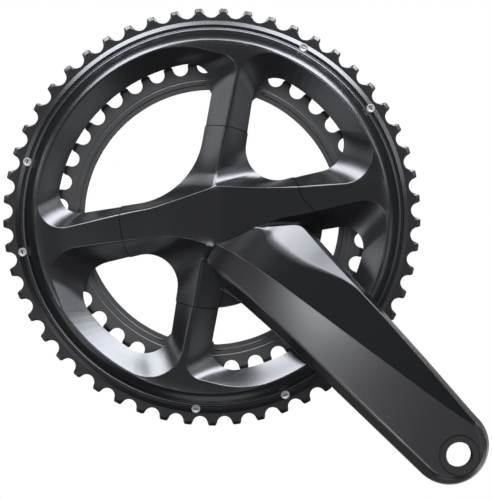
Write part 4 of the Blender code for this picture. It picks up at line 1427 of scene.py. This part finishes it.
@dataclass
class CrankArm:
    """Forged arm with its hub and spider.

    Most sizes of the arm are tables of (distance along the arm, value).
    """

    front: SculptedFront
    seam: tuple[Flat, ...] = ((-0.15, 30.0), (-0.15, 80.0))
    window_inset: float = 0.35
    spider_back: float = 42.05
    cup_room: tuple[Flat, ...] = ((23.0, 30.0), (23.0, 46.1))
    cup_points: int = 96
    tab: tuple[Corner, ...] = (
        Corner(38.0, -8.0, key=True), Corner(61.8, -8.0, TAB_ROUND, True), Corner(61.8, 8.0, TAB_ROUND),
        Corner(38.0, 8.0, key=True),
    )
    tab_counts: tuple[int, int, int] = (10, 30, 4)
    tab_reach: Flat = (42.07, 45.9)
    end: float = 168.6
    low: tuple[Flat, ...] = (
        (0, -21), (6, -23), (12, -24.5), (20, -25), (29, -24), (36, -22.3), (42, -21.4), (62, -20.6),
        (93, -20.17), (168.6, -20.16),
    )
    foot: tuple[Flat, ...] = (
        (0, -19.4), (8, -19.0), (13, -18.7), (20, -17.8), (30, -17.0), (41, -16.4), (62, -15.7),
        (168.6, -15.8),
    )
    high: tuple[Flat, ...] = (
        (0, 3), (12, 7.8), (17.7, 10.8), (24, 16.0), (35.5, 29.5), (47.4, 30.1), (60, 28.9), (83, 27.3),
        (100, 25.9), (130, 23.6), (160, 20.9), (168.6, 20.2),
    )
    bevel: tuple[Flat, ...] = (
        (0, 2.6), (12, 7.4), (17.7, 10.4), (24, 15.6), (35.5, 28.9), (42, 28.3), (50, 27.4), (60, 26.6),
        (70, 26.0), (80, 25.6), (100, 24.5), (130, 21.9), (160, 19.0), (168.6, 18.2),
    )
    edge: tuple[Flat, ...] = (
        (0, 2.2), (12, 6.8), (17.7, 9.6), (21, 12.4), (24, 14.9), (28, 13.2), (40, 13.2), (50, 15.8),
        (60, 19.8), (70, 23.5), (78, 25.0), (100, 23.8), (130, 21.2), (160, 18.3), (168.6, 17.5),
    )
    crease: tuple[Flat, ...] = (
        (0, -15.5), (5, -12), (10, -9), (20, -5.7), (30, -3.7), (40, -2.0), (50, -0.4), (70, 2.2), (100, 6),
        (150, 12.6), (168.6, 15.8),
    )
    face: tuple[Flat, ...] = (
        (0, 57.4), (10, 57.9), (20, 58.5), (30, 59.6), (60, 63.2), (100, 68.0), (135, 72.0), (150, 72.9),
        (160, 73.0),
    )
    foot_sink: tuple[Flat, ...] = ((0, -4.0), (8, -3.0), (11, -1.6), (14, -0.5), (18, 0.0))
    foot_round: tuple[Flat, ...] = ((0, 12), (22, 12), (45, 4), (60, 2.5))
    edge_round: tuple[Flat, ...] = ((0, 0.5), (19, 0.5), (25, 14), (46, 14), (62, 6), (74, 1), (84, 0.5))
    side_drop: tuple[Flat, ...] = ((0, 2.2), (70, 2.2), (85, 5.0))
    tilt: tuple[Flat, ...] = ((0, 0.03), (60, 0.03), (120, 0.0))
    low_drop: tuple[Flat, ...] = (
        (0, 4.2), (12, 4.2), (22, 5.6), (40, 6.3), (60, 5.2), (75, 4.3), (100, 3.0), (130, 1.6), (150, 0.7),
        (168.6, 0.2),
    )
    back: tuple[Flat, ...] = (
        (0, 47.1), (37.3, 47.1), (52.3, 49.25), (74.2, 55.25), (148.6, 60.0), (168.6, 60.0),
    )
    along_names: tuple[str, ...] = (
        "low", "foot", "high", "bevel", "edge", "crease", "face", "foot_sink", "foot_round", "edge_round",
        "side_drop", "tilt", "low_drop", "back",
    )
    own_start: float = 6.0
    own_span: float = 34.0
    buried_start: float = 10.8
    buried_across: float = 9.8
    buried_slant: float = 0.394
    sink: tuple[Flat, ...] = ((-12, -1.2), (-6, -0.6), (-3, -0.12), (0, -0.02), (2, 0.03), (15, 0.0))
    edge_dip: float = 0.9
    dip_start: float = 17.0
    dip_span: float = 8.0
    bevel_fall: float = 0.5
    back_inset: float = 1.2
    back_ease: float = 2.2
    low_wall: float = 7.0
    back_round: float = 1.0
    low_round: float = 4.5
    crease_round: float = 1.1
    bevel_round: float = 0.4
    high_round: float = 1.5
    spans: tuple[int, ...] = (4, 4, 7, 7, 6, 6, 3, 3, 4)
    facet_spans: int = 8
    tone_start: float = 15.0
    tone_span: float = 40.0
    hub_tone: float = 0.47
    seat_tone_radius: float = 11.0
    thread: Flat = (6.65, 7.2)
    thread_reach: Flat = (59.0, 71.5)
    pitch: float = 1.27
    seat: tuple[Flat, ...] = (
        (6.65, 71.7), (7.05, 72.45), (9.9, 72.5), (10.05, 71.7), (10.5, 71.7), (10.65, 72.6), (10.65, 80.0),
    )
    bore_points: int = 72
    step: float = 1.0
    ease: float = 2.0
    ease_reach: float = 12.0
    ease_step: float = 0.5
    table_reach: Flat = (-30.0, 210.0)
    end_steps: int = 30
    smooth: float = 50.0

    def curve(self, table: Sequence[Flat], along: np.ndarray) -> np.ndarray:
        """A table's values along the arm, eased through its corners.

        Args:
            table: Pairs of distance along the arm and value.
            along: Distances to read.

        Returns:
            The values.
        """
        fine = np.arange(*self.table_reach, self.ease_step)
        half = round(self.ease_reach / self.ease_step)
        reach = np.arange(-half, half + 1) * self.ease_step
        weight = np.exp(-0.5 * (reach / self.ease) ** 2)
        padded = np.pad(between(table, fine), half, mode="edge")
        return np.interp(along, fine, np.convolve(padded, weight / weight.sum(), mode="valid"))

    def place(self, along: float, across: float) -> Flat:
        """Flat point from the arm's own directions."""
        c, s = on_circle(1.0, PEDAL_ANGLE)
        return along * c - across * s, along * s + across * c

    def risen(self, along: float, across: float, out: float) -> float:
        """Distance out of the arm's front, which grows out of the raised bar near the hub.

        Args:
            along: Place along the arm.
            across: Place across the arm.
            out: Distance out that the front has by itself.

        Returns:
            The distance out, a little behind the bar where the bar's crest buries it.
        """
        bar = self.front.bar_top(self.place(along, across)[0])
        own = smooth_step((along - self.own_start) / self.own_span)
        past = along - self.buried_start - (across + self.buried_across) * self.buried_slant
        return bar + (out - bar) * own + float(between(self.sink, past))

    def section(self, along: float, at: dict[str, float]) -> tuple[list[Flat], list[float]]:
        """One section of the arm.

        Args:
            along: Place along the arm.
            at: Each table's value there.

        Returns:
            Points (across, out) from the middle of the back round the lower side, and their tones.
        """
        low, high, back, edge, crease = (at[name] for name in ("low", "high", "back", "edge", "crease"))
        face = self.risen(along, crease, at["face"])
        edge_out = self.risen(along, edge, at["face"] + at["tilt"] * (edge - crease))
        edge_out -= self.edge_dip * (1.0 - smooth_step((along - self.dip_start) / self.dip_span))
        low_out = face - at["low_drop"] + at["foot_sink"]
        bevel_out = edge_out - self.bevel_fall * (at["bevel"] - edge)
        places = [Vector(corner) for corner in (
            (low + self.back_inset, back), (low, back + self.back_ease), (low, low_out - self.low_wall),
            (at["foot"], low_out), (crease, face), (edge, edge_out), (at["bevel"], bevel_out),
            (high, bevel_out - at["side_drop"]), (high - self.back_inset, back),
        )]
        radii = (self.back_round, self.back_round, self.low_round, at["foot_round"], self.crease_round,
                 at["edge_round"], self.bevel_round, self.high_round, self.back_round)
        arcs = []
        for k, place in enumerate(places):
            after = places[(k + 1) % len(places)]
            arcs.append([tuple(p) for p in fillet_arc(places[k - 1], place, after, radii[k], self.spans[k])])
        rear = tuple((places[0] + places[-1]) / 2)
        side = tuple((Vector(arcs[1][-1]) + Vector(arcs[2][0])) / 2)
        steps = [k / self.facet_spans for k in range(1, self.facet_spans)]
        facet = [tuple(Vector(arcs[3][-1]).lerp(Vector(arcs[4][0]), share)) for share in steps]
        away = smooth_step((along - self.tone_start) / self.tone_span)
        light = self.hub_tone + (1.0 - self.hub_tone) * away
        dark = self.hub_tone * (1.0 - away)
        behind = [rear, *arcs[0], *arcs[1], side]
        lower = [*arcs[2], *arcs[3], *facet]
        upper = [point for turn in arcs[5:] for point in turn]
        fade = [light + (dark - light) * k / self.spans[4] for k in range(len(arcs[4]))]
        tones = [dark] * len(behind) + [light] * len(lower) + fade + [dark] * len(upper)
        return [*behind, *lower, *arcs[4], *upper], tones

    def arm(self) -> bpy.types.Object:
        """Arm lofted through its sections, swept round its end and bored for the pedal.

        Returns:
            The object.
        """
        stations = np.append(np.arange(0.0, self.end - self.step / 2, self.step), self.end)
        table = {name: self.curve(getattr(self, name), stations) for name in self.along_names}
        draft = Draft()
        rows = []
        for i, along in enumerate(stations):
            points, tones = self.section(along, {name: float(values[i]) for name, values in table.items()})
            rows.append(draft.loop(((*self.place(along, across), out) for across, out in points), tones))
        draft.stack(rows)
        draft.cap(rows[0])
        # points and tones are now those of the last section
        self.round_end(draft, rows[-1], points, tones)
        arm = draft.solid("crank_arm_forging")
        combine(arm, turned("bore_tool", self.bore(), self.bore_points, Ends.CAPPED, PEDAL), Boolean.CUT)
        tone = arm.data.attributes["tone"].data
        for vertex in arm.data.vertices:
            if math.hypot(vertex.co.x / MM - PEDAL[0], vertex.co.z / MM - PEDAL[1]) < self.seat_tone_radius:
                tone[vertex.index].value = 1.0
        return arm

    def round_end(self, draft: Draft, row: Sequence[int], points: Sequence[Flat],
                  tones: Sequence[float]) -> None:
        """Sweep the last section's lower half round the arm's end to its upper half.

        Args:
            draft: Draft that takes the end.
            row: The last section's points by number.
            points: The same points as (across, out).
            tones: Their tones.
        """
        half = len(points) // 2
        lower, upper = points[1:half], points[half + 1:][::-1]
        columns = [row[1:half]]
        for k in range(1, self.end_steps):
            share = k / self.end_steps
            turn = math.pi * (share - 0.5)
            column = []
            for (across_low, out_low), (across_high, out_high) in zip(lower, upper):
                reach = abs(across_low) + (abs(across_high) - abs(across_low)) * share
                ahead, across = on_circle(reach, turn)
                column.append((*self.place(self.end + ahead, across), out_low + (out_high - out_low) * share))
            columns.append(draft.loop(column, tones[1:half]))
        columns.append(row[half + 1:][::-1])
        rear, fore = row[0], row[half]
        for first, second in zip(columns, columns[1:]):
            draft.bridge(first, second, closed=False)
            draft.cap((rear, first[0], second[0]))
            draft.cap((fore, second[-1], first[-1]))

    def bore(self) -> list[Flat]:
        """Profile of the threaded pedal hole, its seat and the groove round that.

        Returns:
            Pairs of radius and distance out.
        """
        minor, major = self.thread
        profile = [(minor, self.thread_reach[0] - self.pitch)]
        for out in np.arange(*self.thread_reach, self.pitch):
            profile.extend(((minor, out), (major, out + self.pitch / 2)))
        return [*profile, *self.seat]

    def spider(self) -> bpy.types.Object:
        """Hub and spider inside the seam, with room for the bearing cup behind.

        Returns:
            The object.
        """
        body = self.front.solid("spider", self.spider_back, self.window_inset, True)
        combine(body, self.front.seam(self.seam), Boolean.KEEP_COMMON)
        combine(body, turned("cup_tool", self.cup_room, self.cup_points, Ends.CAPPED), Boolean.CUT)
        return body

    def spider_tab(self, angle: float) -> bpy.types.Object:
        """Tab of the spider that a chainring bolt holds.

        Args:
            angle: Where the tab stands, in degrees.

        Returns:
            The object.
        """
        flat = spun(outline(self.tab, self.tab_counts), angle)
        draft = Draft()
        draft.stack([draft.flat_loop(flat, out) for out in self.tab_reach], Ends.CAPPED)
        return draft.solid("spider_tab")

    def build(self, shop: Workshop) -> None:
        """Make and dress the arm and the spider.

        Args:
            shop: Workshop that dresses them.
        """
        shop.dress(self.arm(), Paint.ARM, Body.CRANK, ["crank_arm"], self.smooth)
        body = merge_into(self.spider(), [self.spider_tab(angle) for angle in ARM_ANGLES])
        shop.dress(body, Paint.RING, Body.CRANK, ["crank_arm"])


@dataclass
class Fasteners:
    """Chainring bolts and the pin that keeps the chain out from behind the arm."""

    bolt: tuple[Flat, ...] = (
        (0.3, 38.8), (2.5, 38.8), (2.6, 38.7), (2.6, 37.2), (2.8, 36.95), (5.6, 36.88), (6.2, 37.1),
        (6.4, 37.5), (6.4, 39.3), (6.25, 39.44), (4.0, 39.44), (4.0, 50.9), (3.6, 51.2),
    )
    bolt_points: int = 48
    catch_pin: tuple[Flat, ...] = ((2.0, 46.55), (2.0, 52.6), (1.85, 53.1), (1.45, 53.45), (0.6, 53.55))
    pin_points: int = 32

    def build(self, shop: Workshop) -> None:
        """Make and dress the bolts and the pin.

        Args:
            shop: Workshop that dresses them.
        """
        pattern = turned("bolt_pattern", self.bolt, self.bolt_points, Ends.CAPPED)
        places = [on_circle(BOLT_CIRCLE, math.radians(angle)) for angle in ARM_ANGLES]
        bolts = shop.repeat("chainring_bolts", pattern, places, Paint.STEEL)
        nodes = [f"chainring_bolt_{i + 1}" for i in range(len(places))]
        shop.dress(bolts, Paint.STEEL, Body.CRANK, nodes)
        place = on_circle(PIN_CIRCLE, PEDAL_ANGLE)
        pin = turned("chain_catch_pin", self.catch_pin, self.pin_points, Ends.CAPPED, place)
        shop.dress(pin, Paint.BRIGHT, Body.CRANK, ["chain_drop_pin"])


@dataclass
class BottomBracket:
    """Bearing unit: notched cups, sleeve, dust covers and the hollow spindle.

    Sections are rows of radius and distance out, with the depth of notches or splines between them where the
    piece has any.
    """

    shell_half: float = 34.0
    thread_radius: float = 17.4
    thread_root: float = 16.85
    relief_radius: float = 16.8
    thread_end: float = 22.0
    thread_chamfer: float = 0.6
    thread_margin: float = 1.6
    relief_width: float = 0.9
    thread_pitch: float = 1.06
    flange: tuple[Place, ...] = (
        (20.1, 0.0, 34.0), (20.5, 0.0, 34.4), (20.5, 0.0, 36.5), (20.5, 0.9, 36.7), (20.5, 0.9, 44.0),
        (20.15, 0.6, 44.4), (19.8, 0.3, 44.5),
    )
    cup_bore: tuple[Flat, ...] = (
        (18.85, 44.5), (18.65, 44.3), (18.65, 36.7), (15.5, 36.7), (15.5, 22.3), (15.8, 22.0),
    )
    notches: int = 16
    notch_share: float = 0.19
    cup_points: int = 192
    cup_smooth: float = 30.0
    spindle_outside: tuple[Place, ...] = (
        (12.0, 0.0, 55.6), (12.0, 0.0, -45.6), (11.9, 0.0, -45.9), (12.0, 0.6, -46.8), (12.0, 0.6, -59.3),
        (11.6, 0.3, -60.0),
    )
    spindle_bore: tuple[Flat, ...] = ((10.5, -60.0), (10.0, -59.4), (10.0, 55.6))
    splines: int = 18
    spline_steps: tuple[float, ...] = (0.0, 0.0, 0.0, 0.0, 0.0, 0.5, 1.0, 1.0, 1.0, 1.0, 1.0, 0.5)
    sleeve: tuple[Flat, ...] = ((14.4, -29.0), (14.4, 29.0), (13.4, 29.0), (13.4, -29.0))
    sleeve_ease: float = 0.3
    hat: tuple[Flat, ...] = (
        (19.6, 44.8), (19.6, 45.8), (12.15, 45.8), (12.15, 37.0), (12.6, 37.0), (12.6, 44.8),
    )
    hat_ease: float = 0.15
    plastic_points: int = 128

    def notched(self, radius: float, depth: float) -> list[Flat]:
        """Circle with the tool notches let into it.

        Args:
            radius: Radius of the circle.
            depth: Depth of the notches.

        Returns:
            The flat points.
        """
        flat = []
        for i in range(self.cup_points):
            phase = (i * self.notches / self.cup_points + 0.5) % 1.0 - 0.5
            dip = math.sqrt(max(0.0, 1.0 - (phase / self.notch_share) ** 2))
            flat.append(on_circle(radius - depth * dip, math.tau * i / self.cup_points))
        return flat

    def cup(self, name: str, side: float) -> bpy.types.Object:
        """Threaded cup with a notched flange.

        Args:
            name: Name of the object.
            side: 1 on the drive side and -1 on the left.

        Returns:
            The object.
        """
        stations = [(self.relief_radius, 0.0, self.thread_end)]
        out = self.thread_end + self.thread_chamfer
        while out < self.shell_half - self.thread_margin:
            stations.append((self.thread_radius, 0.0, out))
            stations.append((self.thread_root, 0.0, out + self.thread_pitch / 2))
            out += self.thread_pitch
        stations.append((self.relief_radius, 0.0, self.shell_half - self.relief_width))
        stations.append((self.relief_radius, 0.0, self.shell_half))
        stations += [*self.flange, *[(radius, 0.0, place) for radius, place in self.cup_bore]]
        draft = Draft()
        rows = []
        for radius, depth, place in stations:
            rows.append(draft.flat_loop(self.notched(radius, depth), side * place))
        draft.stack(rows, Ends.JOINED)
        return draft.solid(name)

    def splined(self, radius: float, depth: float) -> list[Flat]:
        """Circle with square-bottomed splines let into it.

        Args:
            radius: Radius of the circle.
            depth: Depth of the splines.

        Returns:
            The flat points.
        """
        reaches = [radius - depth * step for step in self.spline_steps] * self.splines
        return [on_circle(reach, math.tau * i / len(reaches)) for i, reach in enumerate(reaches)]

    def spindle(self) -> bpy.types.Object:
        """Hollow spindle with splines on its left end.

        Returns:
            The object.
        """
        stations = [*self.spindle_outside, *[(radius, 0.0, out) for radius, out in self.spindle_bore]]
        draft = Draft()
        rows = [draft.flat_loop(self.splined(radius, depth), out) for radius, depth, out in stations]
        draft.stack(rows, Ends.JOINED)
        return draft.solid("hollow_spindle")

    def build(self, shop: Workshop) -> None:
        """Make and dress the unit's pieces.

        Args:
            shop: Workshop that dresses them.
        """
        shop.dress(self.spindle(), Paint.STEEL, Body.CRANK, ["spindle"])
        sleeve = turned("inner_sleeve", eased(self.sleeve, self.sleeve_ease), self.plastic_points)
        shop.dress(sleeve, Paint.PLASTIC, Body.STAND, ["bb_sleeve"])
        for label, side in (("right", 1.0), ("left", -1.0)):
            cup = self.cup(f"threaded_cup_{label}", side)
            shop.dress(cup, Paint.BLACK, Body.STAND, [f"bb_cup_{label}"], self.cup_smooth)
            hat = eased([(radius, side * out) for radius, out in self.hat], self.hat_ease)
            cover = turned(f"dust_hat_{label}", hat, self.plastic_points)
            shop.dress(cover, Paint.PLASTIC, Body.CRANK, [f"dust_cover_{label}"])
            for node in ("bearing_outer_race", "bearing_inner_race", "ball_ring"):
                shop.dress_node(f"{node}_{label}", Paint.STEEL)
            for node in ("bearing_seal_outer", "bearing_seal_inner", "sleeve_o_ring"):
                shop.dress_node(f"{node}_{label}", Paint.RUBBER)


# Studio


@dataclass(frozen=True)
class Lamp:
    """Soft box lamp that points at the middle of the part, out of the camera's sight."""

    name: str
    place: Place
    size: Flat
    power: float

    def build(self) -> None:
        """Hang the lamp."""
        data = bpy.data.lights.new(self.name, "AREA")
        data.shape = "RECTANGLE"
        data.size, data.size_y = self.size
        data.energy = self.power
        obj = add_object(self.name, data)
        obj.visible_camera = False
        obj.location = self.place
        obj.rotation_euler = (-Vector(self.place)).to_track_quat("-Z", "Y").to_euler()


@dataclass
class Studio:
    """Camera, lamps, pale floor and white surroundings."""

    camera_place: Place = (0.0177, -1.297, -0.0171)
    lens: float = 173.8
    sensor_width: float = 36.0
    floor_level: float = -1.6
    floor_radius: float = 0.4
    floor_points: int = 128
    floor_colour: Colour = (0.82, 0.82, 0.82)
    floor_roughness: float = 0.9
    room_depth: Flat = (-0.1, 0.6)
    room_light: Flat = (0.05, 0.12)
    backdrop_depth: Flat = (0.55, 0.95)
    lamps: tuple[Lamp, ...] = (
        Lamp("soft_box_left", (-0.546, -0.872, 1.226), (0.95, 0.6), 16.2),
        Lamp("soft_box_right", (0.588, -0.871, 1.206), (1.35, 0.6), 24.5),
        Lamp("side_right", (1.2, -0.9, 0.5), (0.5, 0.5), 1.5),
        Lamp("panel_left", (-0.95, -1.41, 0.15), (0.65, 0.7), 1.4),
        Lamp("panel_right", (0.82, -1.49, 0.1), (0.45, 0.7), 0.7),
        Lamp("panel_low", (0.0, -1.5, -0.77), (0.9, 0.35), 0.5),
        Lamp("panel_high", (0.0, -1.5, 0.77), (0.9, 0.35), 1.2),
        Lamp("low_fill", (-0.55, -1.53, -0.55), (0.5, 0.5), 2.6),
        Lamp("side_left", (-1.38, -0.6, 0.42), (0.4, 0.4), 0.9),
        Lamp("side_low_right", (1.45, -0.5, -0.28), (0.6, 0.6), 0.7),
        Lamp("under_left", (-1.1, -0.6, -0.9), (0.6, 0.6), 0.8),
        Lamp("under_right", (1.1, -0.6, -0.9), (0.6, 0.6), 0.6),
        Lamp("rear_middle", (0.1, 2.0, 0.25), (1.2, 1.2), 14.0),
        Lamp("rear_left", (-1.3, 1.3, 0.8), (1.0, 1.0), 6.0),
        Lamp("rear_right", (1.3, 1.3, -0.8), (1.0, 1.0), 2.5),
    )

    def build(self) -> None:
        """Set up the studio."""
        scene = bpy.context.scene
        scene.view_settings.view_transform = "Standard"
        data = bpy.data.cameras.new("camera")
        data.lens = self.lens
        data.sensor_width = self.sensor_width
        camera = add_object("camera", data)
        camera.location = self.camera_place
        camera.rotation_euler = (math.pi / 2, 0.0, 0.0)
        scene.camera = camera
        for lamp in self.lamps:
            lamp.build()
        self.build_floor()
        self.build_world()

    def build_floor(self) -> None:
        """Lay a round pale floor under the part."""
        bm = bmesh.new()
        level = Matrix.Translation((0.0, 0.0, self.floor_level))
        bmesh.ops.create_circle(bm, cap_ends=True, segments=self.floor_points, radius=self.floor_radius,
                                matrix=level)
        mesh = bpy.data.meshes.new("floor")
        bm.to_mesh(mesh)
        bm.free()
        floor = add_object("floor", mesh)
        material = bpy.data.materials.new("pale_floor")
        material.use_nodes = True
        tree = material.node_tree
        feed(tree, tree.nodes["Principled BSDF"], {
            "Base Color": (*self.floor_colour, 1.0), "Roughness": self.floor_roughness,
        })
        mesh.materials.append(material)

    @staticmethod
    def ramp(tree: bpy.types.NodeTree, value: bpy.types.NodeSocket, reach: Flat,
             result: Flat) -> bpy.types.NodeSocket:
        """Smooth change of a value.

        Args:
            tree: Tree that gets the node.
            value: Socket that is read.
            reach: Values where the change starts and ends.
            result: What the ramp gives there.

        Returns:
            The ramp's socket.
        """
        return add_node(tree, "ShaderNodeMapRange", {
            "Value": value, "From Min": reach[0], "From Max": reach[1],
            "To Min": result[0], "To Max": result[1],
        }, interpolation_type="SMOOTHSTEP").outputs[0]

    def build_world(self) -> None:
        """White surroundings in view and in mirrored views of the backdrop, and a dim room elsewhere."""
        world = bpy.data.worlds.new("studio")
        bpy.context.scene.world = world
        world.use_nodes = True
        tree = world.node_tree
        path = tree.nodes.new("ShaderNodeLightPath").outputs
        coords = tree.nodes.new("ShaderNodeTexCoord").outputs["Generated"]
        depth = add_node(tree, "ShaderNodeSeparateXYZ", {0: coords}).outputs["Y"]
        room = self.ramp(tree, depth, self.room_depth, self.room_light)
        backdrop = self.ramp(tree, depth, self.backdrop_depth, (0.0, 1.0))
        mirrored = calculate(tree, "MAXIMUM", path["Is Glossy Ray"], path["Is Transmission Ray"])
        behind = calculate(tree, "MULTIPLY", mirrored, backdrop)
        seen = calculate(tree, "MAXIMUM", behind, path["Is Camera Ray"])
        strength = calculate(tree, "MAXIMUM", room, seen)
        feed(tree, tree.nodes["Background"], {"Color": (1.0, 1.0, 1.0, 1.0), "Strength": strength})


def main() -> None:
    """Build the studio and every sub-assembly in order."""
    logging.basicConfig(level=logging.INFO, format="%(name)s: %(message)s")
    Studio().build()
    shop = Workshop()
    front = SculptedFront()
    OuterRing(front).build(shop)
    InnerRing().build(shop)
    CrankArm(front).build(shop)
    Fasteners().build(shop)
    BottomBracket().build(shop)


if __name__ == "__main__":
    main()
